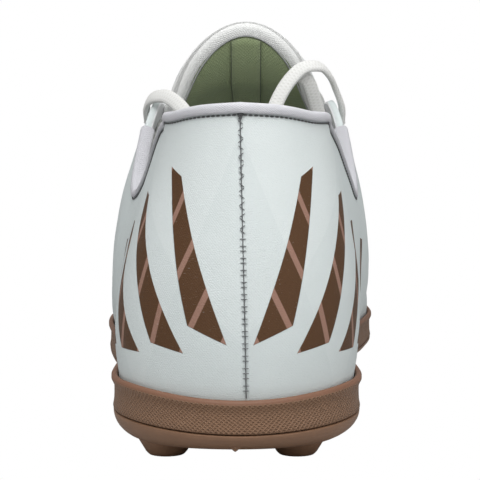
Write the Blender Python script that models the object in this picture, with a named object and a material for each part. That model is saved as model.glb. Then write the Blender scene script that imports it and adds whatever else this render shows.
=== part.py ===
"""A left football shoe for artificial turf, standing on its rubber lugs.

Metres. While the pieces are made, the back of the heel is at y = 0, the toe points along +Y, the lateral
side is at -X, the medial side at +X, and the floor is at z = 0. A parent empty then moves the whole shoe
so that the frame's origin is the middle of its box on the floor.

Every form is worked out along rays in the plan. They fan round the heel's centre, run square to the long
axis through the waist, and fan round the front of the throat. A station from 0 to 3 names a ray: 0 is the
heel's back, 1 its side, 2 the side of the throat's front end and 3 the toe.
"""

import math

import bmesh
import bpy
from mathutils import Vector

# Driving sizes of the last and the sole
LENGTH = 0.270
BALL_WIDTH = 0.0915
HEEL_WIDTH = 0.0620
HEEL_HEIGHT = 0.0835
ANKLE_HEIGHT = 0.0612
THROAT_HEIGHT = 0.0872
VAMP_HEIGHT = 0.0560
TONGUE_RISE = 0.0130
TOE_SPRING = 0.0110

# Levels of the sole, at the heel
LUG_HEIGHT = 0.0028
PARTING_HEIGHT = 0.0093
BED_HEIGHT = 0.0125
RIM_HEIGHT = 0.0181
RIM_DIP = 0.0019
HEEL_DROP = 0.0024
ARCH_RISE = 0.0026
LATERAL_EDGE_ROUND = 0.0080
MEDIAL_EDGE_ROUND = 0.0110

# Thicknesses and clearances
WALL = 0.0022
RIM_WALL = 0.0014
RIM_FLARE = 0.0003
INSOLE_THICKNESS = 0.0034
TONGUE_THICKNESS = 0.0036
BINDING_THICKNESS = 0.0007
BINDING_DEPTH = 0.0015
GAP = 0.0003
INSOLE_EDGE_GAP = 0.0014
TONGUE_GAP = 0.0006

# Widths of what lies over the last
TONGUE_TOP_WIDTH = 0.0620
TONGUE_BASE_WIDTH = 0.0400
TONGUE_LEAN = 0.0060

# Lugs
LUG_BASE_RADIUS = 0.0070
LUG_TIP_RADIUS = 0.0046
SMALL_LUG_BASE_RADIUS = 0.0044
SMALL_LUG_TIP_RADIUS = 0.0030
LATERAL_LUG_DISTANCE = 0.0116
MEDIAL_LUG_DISTANCE = 0.0142
LUG_ROOT = 0.0012

# Lacing
EYELET_RADIUS = 0.0023
EYELET_EDGE_DISTANCE = 0.0060
EYELET_PAIRS = 6
LACE_WIDTH = 0.0042
LACE_THICKNESS = 0.0020
LACE_CLEARANCE = 0.0006
LACE_END_DIAMETER = 0.0032
TIP_LENGTH = 0.0140

# Where the rays change, as shares of the length
HEEL_CENTRE = 0.115
THROAT_FRONT = 0.622
BINDING_END = 0.338
FIRST_EYELET = 0.381
LAST_EYELET = 0.585
TONGUE_END = 0.690

# How much of its rise the tongue's top loses at its corners
TONGUE_CORNER = 0.95

LATERAL, MEDIAL = -1, 1
HEEL_STEPS, WAIST_STEPS, TOE_STEPS = 7, 21, 10
WALL_STEPS = 8
FLOOR_SHARES = (0.0, 0.5)
SIDES_OF_LACE = 6
LACE_STEPS = 6


def between(low, high, share):
    return low + (high - low) * share


# Plan of the sole: centre of the section and its half width, as shares of the width there
OUTLINE = (
    # length, centre, half width
    (0.000, 0.000, 0.000),
    (0.019, -0.004, 0.268),
    (0.044, -0.008, 0.390),
    (0.078, -0.012, 0.468),
    (0.141, -0.015, 0.500),
    (0.259, -0.022, 0.486),
    (0.370, -0.032, 0.469),
    (0.481, -0.031, 0.466),
    (0.611, -0.008, 0.481),
    (0.685, 0.011, 0.491),
    (0.741, 0.024, 0.484),
    (0.833, 0.053, 0.432),
    (0.907, 0.078, 0.342),
    (0.963, 0.098, 0.222),
    (1.000, 0.108, 0.000),
)

# Side view of the sole: how much of each named rise there is
LEVELS = (
    # length, heel drop, arch rise, toe spring
    (0.00, 0.00, 0.50, 0.00),
    (0.06, 0.00, 0.00, 0.00),
    (0.28, 0.10, 0.00, 0.00),
    (0.41, 0.45, 1.00, 0.00),
    (0.54, 0.85, 0.20, 0.00),
    (0.62, 1.00, 0.00, 0.00),
    (0.74, 1.00, 0.00, 0.00),
    (0.83, 1.00, 0.00, 0.20),
    (0.92, 1.00, 0.00, 0.56),
    (1.00, 1.00, 0.00, 1.00),
)

# Sections of the upper. Swell and lean are shares of the ray's length to the rim.
# Rise and drop are shares of the height from the rim to the top edge.
SECTIONS = (
    # station, lateral swell, medial swell, rise, lean, drop
    (0.000, 0.105, 0.105, 0.36, -0.030, 0.32),
    (0.500, 0.120, 0.120, 0.36, 0.040, 0.32),
    (1.000, 0.130, 0.150, 0.36, 0.155, 0.33),
    (1.152, 0.165, 0.250, 0.33, 0.195, 0.35),
    (1.336, 0.225, 0.385, 0.32, 0.190, 0.35),
    (1.489, 0.250, 0.440, 0.30, 0.290, 0.35),
    (1.687, 0.200, 0.350, 0.35, 0.370, 0.24),
    (1.833, 0.140, 0.180, 0.42, 0.400, 0.17),
    (2.000, 0.080, 0.100, 0.45, 0.400, 0.13),
    (2.330, 0.045, 0.050, 0.46, 0.410, 0.13),
    (2.670, 0.020, 0.020, 0.48, 0.450, 0.26),
    (3.000, 0.005, 0.005, 0.50, 0.480, 0.46),
)

# Top edge of the upper: collar, ankle, throat and its front end. The gap is half the opening, and the
# shift moves its middle towards the medial side. Both are shares of the width there.
TOP_EDGE = (
    # station, gap, shift, height
    (0.000, 0.432, 0.000, HEEL_HEIGHT),
    (0.250, 0.402, 0.006, between(ANKLE_HEIGHT, HEEL_HEIGHT, 0.975)),
    (0.500, 0.365, 0.014, between(ANKLE_HEIGHT, HEEL_HEIGHT, 0.925)),
    (1.000, 0.318, 0.028, between(ANKLE_HEIGHT, HEEL_HEIGHT, 0.870)),
    (1.066, 0.338, 0.024, between(ANKLE_HEIGHT, HEEL_HEIGHT, 0.810)),
    (1.152, 0.379, 0.028, between(ANKLE_HEIGHT, HEEL_HEIGHT, 0.610)),
    (1.234, 0.430, 0.031, between(ANKLE_HEIGHT, HEEL_HEIGHT, 0.250)),
    (1.288, 0.459, 0.026, between(ANKLE_HEIGHT, HEEL_HEIGHT, 0.050)),
    (1.328, 0.472, 0.021, ANKLE_HEIGHT),
    (1.370, 0.470, 0.018, between(ANKLE_HEIGHT, THROAT_HEIGHT, 0.130)),
    (1.420, 0.440, 0.018, between(ANKLE_HEIGHT, THROAT_HEIGHT, 0.500)),
    (1.452, 0.410, 0.018, between(ANKLE_HEIGHT, THROAT_HEIGHT, 0.800)),
    (1.489, 0.372, 0.018, THROAT_HEIGHT),
    (1.577, 0.321, 0.022, between(VAMP_HEIGHT, THROAT_HEIGHT, 0.865)),
    (1.687, 0.237, 0.022, between(VAMP_HEIGHT, THROAT_HEIGHT, 0.60)),
    (1.833, 0.150, 0.017, between(VAMP_HEIGHT, THROAT_HEIGHT, 0.26)),
    (2.000, 0.085, 0.010, VAMP_HEIGHT),
    (2.330, 0.075, 0.008, VAMP_HEIGHT),
    (3.000, 0.065, 0.000, VAMP_HEIGHT),
)

# Rows of lugs: place along the length, number across, and a large lug or a small one
LUG_ROWS = (
    # length, across, large
    (0.074, 2, True),
    (0.122, 1, False),
    (0.168, 2, True),
    (0.215, 1, False),
    (0.262, 2, True),
    (0.520, 2, True),
    (0.560, 1, False),
    (0.590, 2, True),
    (0.625, 1, False),
    (0.660, 2, True),
    (0.695, 1, False),
    (0.730, 2, True),
    (0.765, 1, False),
    (0.800, 2, True),
    (0.845, 1, False),
    (0.870, 2, True),
    (0.925, 1, True),
)

# Routes of the two free lace ends, from the top eyelet over the collar and into the shoe
LATERAL_END_ROUTE = (
    (-0.0278, 0.1025, 0.0822),
    (-0.0284, 0.0997, 0.0845),
    (-0.0279, 0.0968, 0.0865),
    (-0.0258, 0.0942, 0.0878),
    (-0.0225, 0.0918, 0.0881),
    (-0.0190, 0.0885, 0.0871),
    (-0.0158, 0.0840, 0.0840),
    (-0.0130, 0.0800, 0.0785),
    (-0.0108, 0.0772, 0.0710),
    (-0.0095, 0.0757, 0.0630),
    (-0.0087, 0.0748, 0.0530),
    (-0.0082, 0.0750, 0.0410),
    (-0.0080, 0.0785, 0.0300),
    (-0.0076, 0.0860, 0.0215),
    (-0.0072, 0.0970, 0.0178),
    (-0.0070, 0.1080, 0.0171),
)
MEDIAL_END_ROUTE = (
    (0.0299, 0.1025, 0.0819),
    (0.0298, 0.0998, 0.0856),
    (0.0280, 0.0974, 0.0902),
    (0.0256, 0.0936, 0.0946),
    (0.0222, 0.0902, 0.0970),
    (0.0180, 0.0876, 0.0964),
    (0.0138, 0.0854, 0.0924),
    (0.0104, 0.0836, 0.0865),
    (0.0078, 0.0816, 0.0785),
    (0.0060, 0.0794, 0.0685),
    (0.0052, 0.0778, 0.0570),
    (0.0050, 0.0772, 0.0450),
    (0.0052, 0.0794, 0.0335),
    (0.0056, 0.0850, 0.0235),
    (0.0060, 0.0945, 0.0178),
    (0.0062, 0.1060, 0.0171),
)


def slope(rows, k, c):
    """The slope of column c at row k: level at a peak or beside a flat stretch, so nothing overshoots."""
    steps = []
    for i in (k - 1, k):
        if 0 <= i < len(rows) - 1:
            steps.append((rows[i + 1][c] - rows[i][c]) / (rows[i + 1][0] - rows[i][0]))
    if len(steps) == 2 and steps[0] * steps[1] <= 0:
        return 0.0
    return sum(steps) / len(steps)


def smooth(rows, x):
    """The table's columns at x, on a smooth curve through its rows."""
    x = min(max(x, rows[0][0]), rows[-1][0])
    k = max(i for i in range(len(rows) - 1) if rows[i][0] <= x)
    low, high = rows[k], rows[k + 1]
    span = high[0] - low[0]
    t = (x - low[0]) / span
    found = []
    for c in range(1, len(low)):
        a, b = 2 * t**3 - 3 * t**2 + 1, t**3 - 2 * t**2 + t
        d, e = -2 * t**3 + 3 * t**2, t**3 - t**2
        bends = slope(rows, k, c) * span * b + slope(rows, k + 1, c) * span * e
        found.append(a * low[c] + d * high[c] + bends)
    return found


def rounded(share):
    """The share of a length as an angle, which makes both ends of an outline round."""
    return math.acos(1 - 2 * min(max(share, 0.0), 1.0))


ROUND_OUTLINE = tuple((rounded(u), centre, half) for u, centre, half in OUTLINE)


def width_at(y):
    """The width that a section's shares refer to: the heel's behind, the ball's in front."""
    t = min(max((y / LENGTH - 0.20) / 0.48, 0.0), 1.0)
    return between(HEEL_WIDTH, BALL_WIDTH, t * t * (3 - 2 * t))


def outline_at(y):
    """The sole's lateral and medial edge at y, as x values."""
    centre, half = smooth(ROUND_OUTLINE, rounded(y / LENGTH))
    return (centre - half) * width_at(y), (centre + half) * width_at(y)


def inside_outline(x, y):
    if not 0 < y < LENGTH:
        return False
    low, high = outline_at(y)
    return low < x < high


def ray(station, side):
    """The origin and direction in the plan of a station's ray."""
    heel_y, throat_y = HEEL_CENTRE * LENGTH, THROAT_FRONT * LENGTH
    if station < 1:
        angle = station * math.pi / 2
        return Vector((0, heel_y)), Vector((side * math.sin(angle), -math.cos(angle)))
    if station <= 2:
        return Vector((0, between(heel_y, throat_y, station - 1))), Vector((side, 0))
    angle = (station - 2) * math.pi / 2
    return Vector((0, throat_y)), Vector((side * math.cos(angle), math.sin(angle)))


def sole_radius(station, side):
    """The length of a ray from its origin to the sole's edge."""
    origin, direction = ray(station, side)
    low, high = 0.0, LENGTH
    for _ in range(40):
        middle = (low + high) / 2
        if inside_outline(*(origin + direction * middle)):
            low = middle
        else:
            high = middle
    return low


def level(height, y):
    """The height of a level of the sole at y, from its height at the heel."""
    drop, _, spring = smooth(LEVELS, y / LENGTH)
    return height - HEEL_DROP * drop + TOE_SPRING * spring


def rim(station, side, along):
    """The height of the rim's top edge, which dips towards the heel's seam."""
    dip = (1 - min(station / 0.7, 1.0) ** 2) ** 2
    return level(RIM_HEIGHT - RIM_DIP * dip, at_ray(station, side, along, 0).y)


def sole_bottom(y):
    """The height of the outsole's underside, between the lugs."""
    _, arch, spring = smooth(LEVELS, y / LENGTH)
    return LUG_HEIGHT + ARCH_RISE * arch + TOE_SPRING * spring


def upper_radius(station, side):
    """The ray's length to the upper's outer face where it stands in the sole's rim."""
    return sole_radius(station, side) + RIM_FLARE - RIM_WALL - GAP


def section_controls(station, side):
    """The four control points (along the ray, height) of the upper's section above the rim."""
    lateral, medial, rise, lean, drop = smooth(SECTIONS, station)
    swell = lateral if side == LATERAL else medial
    gap, shift, top = smooth(TOP_EDGE, station)
    origin, _ = ray(station, side)
    foot = upper_radius(station, side)
    low = rim(station, side, foot)
    edge = (gap + side * shift) * width_at(origin.y)
    tall = top - low
    return (
        Vector((foot, low)),
        Vector((foot * (1 + swell), low + rise * tall)),
        Vector((edge + lean * foot, top - drop * tall)),
        Vector((edge, top)),
    )


def bezier(points, t):
    a, b, c, d = points
    return a * (1 - t) ** 3 + b * 3 * t * (1 - t) ** 2 + c * 3 * t * t * (1 - t) + d * t**3


def at_ray(station, side, along, height):
    origin, direction = ray(station, side)
    place = origin + direction * along
    return Vector((place.x, place.y, height))


def section(station, side, steps):
    """Points of the upper's outer face on one ray, from the sole's bed to the top edge."""
    controls = section_controls(station, side)
    foot = controls[0].x
    bed = level(BED_HEIGHT, at_ray(station, side, foot, 0).y) + GAP
    points = [at_ray(station, side, foot, bed)]
    for k in range(steps + 1):
        along, height = bezier(controls, k / steps)
        points.append(at_ray(station, side, along, height))
    return points


def station_loop():
    """Every ray in turn: from the heel's back along the lateral side to the toe, and back."""
    stations = [k / HEEL_STEPS for k in range(HEEL_STEPS)]
    stations += [1 + k / WAIST_STEPS for k in range(WAIST_STEPS)]
    stations += [2 + k / TOE_STEPS for k in range(TOE_STEPS + 1)]
    forward = [(s, LATERAL) for s in stations]
    back = [(s, MEDIAL) for s in reversed(stations[1:-1])]
    return forward + back


def grid_normals(grid, closed):
    """Unit normals of a grid of points, from its neighbours. A closed grid's first row follows its last."""
    rows, columns = len(grid), len(grid[0])
    found = []
    for i in range(rows):
        line = []
        for j in range(columns):
            ahead = grid[(i + 1) % rows if closed else min(i + 1, rows - 1)][j]
            behind = grid[i - 1 if closed else max(i - 1, 0)][j]
            up, down = grid[i][min(j + 1, columns - 1)], grid[i][max(j - 1, 0)]
            line.append((up - down).cross(ahead - behind).normalized())
        found.append(line)
    return found


def shifted(grid, normals, distance):
    return [[p + n * distance for p, n in zip(a, b)] for a, b in zip(grid, normals)]


def clear_scene():
    for thing in list(bpy.data.objects):
        bpy.data.objects.remove(thing, do_unlink=True)


def material(name, colour, roughness):
    made = bpy.data.materials.new(name)
    made.use_nodes = True
    shader = made.node_tree.nodes["Principled BSDF"]
    shader.inputs["Base Color"].default_value = (*colour, 1.0)
    shader.inputs["Roughness"].default_value = roughness
    shader.inputs["Metallic"].default_value = 0.0
    return made


def place(name, data, finish):
    """A named object of the shoe, with its material, ready to be parented."""
    thing = bpy.data.objects.new(name, data)
    thing.data.materials.append(finish)
    bpy.context.scene.collection.objects.link(thing)
    return thing


def mesh_object(name, points, faces, finish, flat_angle=40):
    """A closed mesh whose doubled points are merged and whose faces point outwards."""
    work = bmesh.new()
    corners = [work.verts.new(p) for p in points]
    for face in faces:
        work.faces.new([corners[k] for k in face])
    bmesh.ops.remove_doubles(work, verts=work.verts, dist=1e-6)
    bmesh.ops.dissolve_degenerate(work, edges=work.edges, dist=1e-6)
    bmesh.ops.recalc_face_normals(work, faces=work.faces)
    if work.calc_volume(signed=True) < 0:
        bmesh.ops.reverse_faces(work, faces=work.faces)
    mesh = bpy.data.meshes.new(name)
    work.to_mesh(mesh)
    work.free()
    mesh.shade_smooth()
    mesh.set_sharp_from_angle(angle=math.radians(flat_angle))
    return place(name, mesh, finish)


def ring_faces(rings, size, closed):
    """Quads between rings of equal size. A closed run of rings joins its last ring to its first."""
    faces = []
    for i in range(rings if closed else rings - 1):
        following = (i + 1) % rings
        for j in range(size):
            k = (j + 1) % size
            faces.append((i * size + j, i * size + k, following * size + k, following * size + j))
    return faces


def cap_faces(rings, size):
    """The two end faces of an open run of rings."""
    last = (rings - 1) * size
    return [tuple(range(size)), tuple(last + j for j in reversed(range(size)))]


def apply_modifiers(thing):
    graph = bpy.context.evaluated_depsgraph_get()
    thing.data = bpy.data.meshes.new_from_object(thing.evaluated_get(graph))
    thing.modifiers.clear()


def combine(thing, others, operation):
    """Unites others with thing, or cuts them from it, and removes them."""
    for other in others:
        step = thing.modifiers.new(operation.lower(), "BOOLEAN")
        step.operation = operation
        step.object = other
    bpy.context.view_layer.update()
    apply_modifiers(thing)
    for other in others:
        bpy.data.objects.remove(other, do_unlink=True)


def make_upper(finish):
    """The hollow upper: outer face, inner face, and the edges that join them."""
    outer = [section(s, side, WALL_STEPS) for s, side in station_loop()]
    inner = shifted(outer, grid_normals(outer, True), -WALL)
    for out_line, in_line in zip(outer, inner):
        in_line[0].z = out_line[0].z
    rings = [a + b[::-1] for a, b in zip(outer, inner)]
    size = len(rings[0])
    upper = mesh_object(
        "upper", [p for ring in rings for p in ring], ring_faces(len(rings), size, True), finish
    )
    combine(upper, [eyelet_cutter(k, side) for k in range(EYELET_PAIRS) for side in (LATERAL, MEDIAL)],
            "DIFFERENCE")
    return upper


def full_section(y):
    """The skin's section at y from the lateral side over the instep to the medial side, closed over the
    throat by an arch that the tongue and the laces follow. Returns the points and the lengths along them,
    counted from the crown."""
    heel_y, throat_y = HEEL_CENTRE * LENGTH, THROAT_FRONT * LENGTH
    station = 1 + (y - heel_y) / (throat_y - heel_y)
    sides = {side: section_controls(station, side) for side in (LATERAL, MEDIAL)}
    steps = 12
    points = []
    for k in range(steps):
        along, height = bezier(sides[LATERAL], between(0.35, 1.0, k / steps))
        points.append(Vector((-along, y, height)))
    ends = []
    for side in (LATERAL, MEDIAL):
        edge, handle = sides[side][3], sides[side][3] - sides[side][2]
        handle = handle.normalized() * (sides[LATERAL][3].x + sides[MEDIAL][3].x) * 0.34
        ends.append((Vector((side * edge.x, edge.y)), Vector((side * (edge + handle).x, (edge + handle).y))))
    arch = (ends[0][0], ends[0][1], ends[1][1], ends[1][0])
    crown = len(points) + steps // 2
    for k in range(steps + 1):
        x, height = bezier(arch, k / steps)
        points.append(Vector((x, y, height)))
    for k in range(1, steps + 1):
        along, height = bezier(sides[MEDIAL], between(1.0, 0.35, k / steps))
        points.append(Vector((along, y, height)))
    lengths = [0.0]
    for a, b in zip(points, points[1:]):
        lengths.append(lengths[-1] + (b - a).length)
    return points, [one - lengths[crown] for one in lengths]


def skin_point(y, across):
    """The point of the skin's section at y that lies a length across from the crown, medial positive."""
    points, lengths = full_section(y)
    across = min(max(across, lengths[0]), lengths[-1])
    k = max(i for i in range(len(points) - 1) if lengths[i] <= across)
    share = (across - lengths[k]) / (lengths[k + 1] - lengths[k])
    return points[k].lerp(points[k + 1], share)


def skin_normal(y, across):
    step = 0.001
    along = skin_point(y + step, across) - skin_point(y - step, across)
    over = skin_point(y, across + step) - skin_point(y, across - step)
    return over.cross(along).normalized()


def edge_across(y, side):
    """How far across from the crown the throat's edge lies at y."""
    points, lengths = full_section(y)
    steps = (len(points) - 1) // 3
    return lengths[steps] if side == LATERAL else lengths[2 * steps]


def eyelet_place(k, side):
    """The length along and the length across of an eyelet's middle."""
    y = between(FIRST_EYELET, LAST_EYELET, k / (EYELET_PAIRS - 1)) * LENGTH
    return y, edge_across(y, side) + side * EYELET_EDGE_DISTANCE


def eyelet_cutter(k, side):
    y, across = eyelet_place(k, side)
    normal = skin_normal(y, across)
    turn = normal.to_track_quat("Z", "Y").to_matrix().to_4x4()
    work = bmesh.new()
    bmesh.ops.create_cone(work, cap_ends=True, segments=10, radius1=EYELET_RADIUS, radius2=EYELET_RADIUS,
                          depth=WALL * 4)
    bmesh.ops.transform(work, matrix=turn, verts=work.verts)
    bmesh.ops.translate(work, vec=skin_point(y, across) - normal * (WALL / 2), verts=work.verts)
    mesh = bpy.data.meshes.new("eyelet_cutter")
    work.to_mesh(mesh)
    work.free()
    cutter = bpy.data.objects.new("eyelet_cutter", mesh)
    bpy.context.scene.collection.objects.link(cutter)
    return cutter


def vamp_height(x, y):
    """The height of the vamp's skin over a point of the plan in front of the throat."""
    origin = Vector((0, THROAT_FRONT * LENGTH))
    reach = Vector((x, y)) - origin
    side = LATERAL if x < 0 else MEDIAL
    station = 2 + math.atan2(reach.y, abs(reach.x)) / (math.pi / 2)
    controls = section_controls(station, side)
    if reach.length <= controls[3].x:
        return controls[3].y
    low, high = 0.3, 1.0
    for _ in range(30):
        middle = (low + high) / 2
        if bezier(controls, middle).x > reach.length:
            low = middle
        else:
            high = middle
    return bezier(controls, low).y


def make_tongue(finish):
    """A padded sheet under the throat that rises above the collar."""
    columns = 14
    top_y, front_y, end_y = FIRST_EYELET * LENGTH, THROAT_FRONT * LENGTH, TONGUE_END * LENGTH
    rows = []
    for k in range(4):
        y = between(end_y, front_y, k / 4)
        half = TONGUE_BASE_WIDTH / 2
        xs = [between(-half, half, c / columns) for c in range(columns + 1)]
        rows.append([Vector((x, y, vamp_height(x, y))) for x in xs])
    steps = 8
    for k in range(steps + 1):
        y = between(front_y, top_y, k / steps)
        half = between(TONGUE_BASE_WIDTH, TONGUE_TOP_WIDTH, k / steps) / 2
        rows.append([skin_point(y, between(-half, half, c / columns)) for c in range(columns + 1)])
    normals = grid_normals(rows, False)
    if normals[0][columns // 2].z < 0:
        normals = [[-n for n in line] for line in normals]
    last, last_normals = rows[-1], normals[-1]
    for k in range(1, 5):
        share = k / 4
        line, outs = [], []
        for c, (p, n) in enumerate(zip(last, last_normals)):
            crown = 1 - TONGUE_CORNER * abs(2 * c / columns - 1) ** 1.6
            back = TONGUE_LEAN * (1 - (1 - share) ** 2)
            line.append(p + Vector((0, -back * crown, TONGUE_RISE * share * crown)))
            outs.append((n + Vector((0, 0.5, -0.5)) * share * crown).normalized())
        rows.append(line)
        normals.append(outs)
    under = WALL + TONGUE_GAP
    outer, inner = shifted(rows, normals, -under), shifted(rows, normals, -under - TONGUE_THICKNESS)
    rings = [a + b[::-1] for a, b in zip(outer, inner)]
    size = len(rings[0])
    faces = ring_faces(len(rings), size, False) + sheet_caps(len(rings), size)
    return mesh_object("tongue", [p for ring in rings for p in ring], faces, finish)


def sheet_caps(rings, size):
    """End faces of a folded sheet, as quads between its outer and its inner line."""
    faces = []
    for start in (0, (rings - 1) * size):
        for j in range(size // 2 - 1):
            faces.append((start + j, start + j + 1, start + size - 2 - j, start + size - 1 - j))
    return faces


def ray_solid(name, profile, finish, flat_angle=40):
    """A solid turned along all rays: profile(station, side) lists its points (along, height) from the
    middle's underside round the edge to the middle's top. Each quad is halved from the nearer point of
    one ray to the farther point of the next, so that faces of two such solids lie parallel."""
    lines = [profile(station, side) for station, side in station_loop()]
    points = []
    for (station, side), line in zip(station_loop(), lines):
        points += [at_ray(station, side, along, height) for along, height in line]
    count, size = len(lines), len(lines[0])
    faces = []
    for i in range(count):
        a, b = i * size, (i + 1) % count * size
        for j in range(size - 1):
            if lines[i][j][0] <= lines[i][j + 1][0]:
                faces += [(a + j, a + j + 1, b + j + 1), (a + j, b + j + 1, b + j)]
            else:
                faces += [(a + j, a + j + 1, b + j), (a + j + 1, b + j + 1, b + j)]
    return mesh_object(name, points, faces, finish, flat_angle)


def level_at(station, side, along, height):
    return level(height, at_ray(station, side, along, 0).y)


def insole_radius(station, side):
    return upper_radius(station, side) - WALL - INSOLE_EDGE_GAP


def midsole_profile(station, side):
    """A cup: its floor carries the insole and the upper, and its rim stands round the upper's foot."""
    edge, floor = sole_radius(station, side), insole_radius(station, side)
    inner, outer = edge + RIM_FLARE - RIM_WALL, edge + RIM_FLARE
    parting = level_at(station, side, edge, PARTING_HEIGHT + GAP)
    top = rim(station, side, edge)
    line = [(share * edge, level_at(station, side, share * edge, PARTING_HEIGHT + GAP))
            for share in FLOOR_SHARES]
    line += [
        (edge, parting),
        (edge - RIM_FLARE, between(parting, top, 0.5)),
        (outer, top - RIM_WALL / 2),
        (outer - RIM_WALL / 2, top),
        (inner, top),
        (inner, level_at(station, side, inner, BED_HEIGHT)),
        (floor, level_at(station, side, floor, BED_HEIGHT)),
    ]
    line += [(share * floor, level_at(station, side, share * floor, BED_HEIGHT))
             for share in reversed(FLOOR_SHARES)]
    return line


def outsole_profile(station, side):
    """The tread plate, with its lower edge rounded like a bowl, more so on the medial side."""
    edge = sole_radius(station, side)
    _, direction = ray(station, side)
    turn = between(LATERAL_EDGE_ROUND, MEDIAL_EDGE_ROUND, (direction.x + 1) / 2)
    arc_steps = 4
    line = []
    for share in FLOOR_SHARES:
        along = share * (edge - turn)
        line.append((along, sole_bottom(at_ray(station, side, along, 0).y)))
    for k in range(arc_steps + 1):
        angle = k / arc_steps * math.pi / 2
        along = edge - turn + turn * math.sin(angle)
        y = at_ray(station, side, along, 0).y
        low, high = sole_bottom(y), level(PARTING_HEIGHT, y)
        line.append((along, between(high, low, math.cos(angle))))
    for share in reversed(FLOOR_SHARES):
        line.append((share * edge, level_at(station, side, share * edge, PARTING_HEIGHT)))
    return line


def insole_profile(station, side):
    """The sock liner, inside the upper's foot."""
    edge = insole_radius(station, side)
    low, high = BED_HEIGHT + GAP, BED_HEIGHT + GAP + INSOLE_THICKNESS
    corners = [(share * edge, low) for share in FLOOR_SHARES]
    corners += [(edge, low), (edge, high - 0.0008), (edge - 0.0010, high)]
    corners += [(share * edge, high) for share in reversed(FLOOR_SHARES)]
    return [(along, level_at(station, side, along, height)) for along, height in corners]


def lug(x, y, large, finish):
    """A blunt cone with eight sides. Its foot is flat, and its root is sunk in the outsole."""
    base, tip = (LUG_BASE_RADIUS, LUG_TIP_RADIUS) if large else (SMALL_LUG_BASE_RADIUS, SMALL_LUG_TIP_RADIUS)
    bottom = sole_bottom(y)
    rings = []
    for radius, height in ((tip, bottom - LUG_HEIGHT), (base, bottom + LUG_ROOT)):
        turns = [(k + 0.5) * math.pi / 4 for k in range(8)]
        rings.append([Vector((x + radius * math.cos(a), y + radius * math.sin(a), height)) for a in turns])
    points = [p for ring in rings for p in ring]
    return mesh_object("lug", points, ring_faces(2, 8, False) + cap_faces(2, 8), finish)


def make_outsole(finish):
    outsole = ray_solid("outsole", outsole_profile, finish)
    lugs = []
    for share, across, large in LUG_ROWS:
        y = share * LENGTH
        low, high = outline_at(y)
        if across == 1:
            lugs.append(lug((low + high) / 2, y, large, finish))
        else:
            lugs += [lug(low + LATERAL_LUG_DISTANCE, y, large, finish),
                     lug(high - MEDIAL_LUG_DISTANCE, y, large, finish)]
    combine(outsole, lugs, "UNION")
    return outsole


def make_binding(finish):
    """The tape folded over the collar's edge, from one top eyelet round the heel to the other."""
    loop = station_loop()
    outer = [section(s, side, WALL_STEPS) for s, side in loop]
    normals = grid_normals(outer, True)
    front = 1 + (BINDING_END - HEEL_CENTRE) / (THROAT_FRONT - HEEL_CENTRE)
    order = [i for i in range(len(loop)) if loop[i][0] <= front]
    order = [i for i in order if loop[i][1] == MEDIAL] + [i for i in order if loop[i][1] == LATERAL]
    near, far = GAP, GAP + BINDING_THICKNESS
    rings = []
    for i in order:
        edge, below = outer[i][-1], outer[i][-2]
        up = (edge - below).normalized()
        share = BINDING_DEPTH / (edge - below).length
        foot, foot_normal = edge.lerp(below, share), normals[i][-1].lerp(normals[i][-2], share)
        normal = normals[i][-1]
        crown = edge + up * far
        rings.append([
            foot + foot_normal * near,
            foot + foot_normal * far,
            edge + normal * far,
            crown + normal * near,
            crown - normal * (WALL + near),
            edge - normal * (WALL + far),
            foot - foot_normal * (WALL + far),
            foot - foot_normal * (WALL + near),
            edge - normal * (WALL + near) + up * near,
            edge + normal * near + up * near,
        ])
    size = len(rings[0])
    points = [p for ring in rings for p in ring]
    faces = ring_faces(len(rings), size, False) + cap_faces(len(rings), size)
    return mesh_object("collar_binding", points, faces, finish)


def lace_strand(name, start, end, lift, finish):
    """A flat lace from one place of the skin to another, each (length along, length across)."""
    centres, normals = [], []
    for k in range(LACE_STEPS + 1):
        share = k / LACE_STEPS
        y, across = between(start[0], end[0], share), between(start[1], end[1], share)
        normal = skin_normal(y, across)
        centres.append(skin_point(y, across) + normal * lift)
        normals.append(normal)
    return sweep_lace(name, centres, normals, finish)


def sweep_lace(name, centres, normals, finish):
    rings = []
    for k, (centre, normal) in enumerate(zip(centres, normals)):
        along = centres[min(k + 1, len(centres) - 1)] - centres[max(k - 1, 0)]
        side = along.cross(normal).normalized()
        over = side.cross(along).normalized()
        ring = []
        for turn in range(SIDES_OF_LACE):
            angle = (turn + 0.5) * 2 * math.pi / SIDES_OF_LACE
            flat, thick = math.cos(angle), math.sin(angle)
            ring.append(centre + side * flat * LACE_WIDTH / 2 + over * thick * LACE_THICKNESS / 2)
        rings.append(ring)
    points = [p for ring in rings for p in ring]
    size = SIDES_OF_LACE
    return mesh_object(name, points, ring_faces(len(rings), size, False) + cap_faces(len(rings), size), finish)


def lace_crossing(k, side, finish):
    """A strand from its place over an eyelet of pair k + 1 to the throat's other edge, behind pair k."""
    y, across = eyelet_place(k, -side)
    y += LACE_WIDTH + LACE_CLEARANCE
    end = (y, edge_across(y, -side) * 0.85)
    lift = LACE_THICKNESS / 2 + LACE_CLEARANCE
    return lace_strand(f"lace_crossing_{k + 1}", eyelet_place(k + 1, side), end, lift, finish)


def make_lacing(finish):
    """A bar between the flaps at the front eyelets, and a crossing between each pair and the next."""
    y, _ = eyelet_place(EYELET_PAIRS - 1, LATERAL)
    ends = [edge_across(y, side) - side * LACE_CLEARANCE for side in (LATERAL, MEDIAL)]
    made = [lace_strand("lace_bar", (y, ends[0]), (y, ends[1]), -WALL / 2, finish)]
    for k in range(EYELET_PAIRS - 1):
        crossing = lace_crossing(k, LATERAL, finish)
        combine(crossing, [lace_crossing(k, MEDIAL, finish)], "UNION")
        made.append(crossing)
    return made


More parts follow.
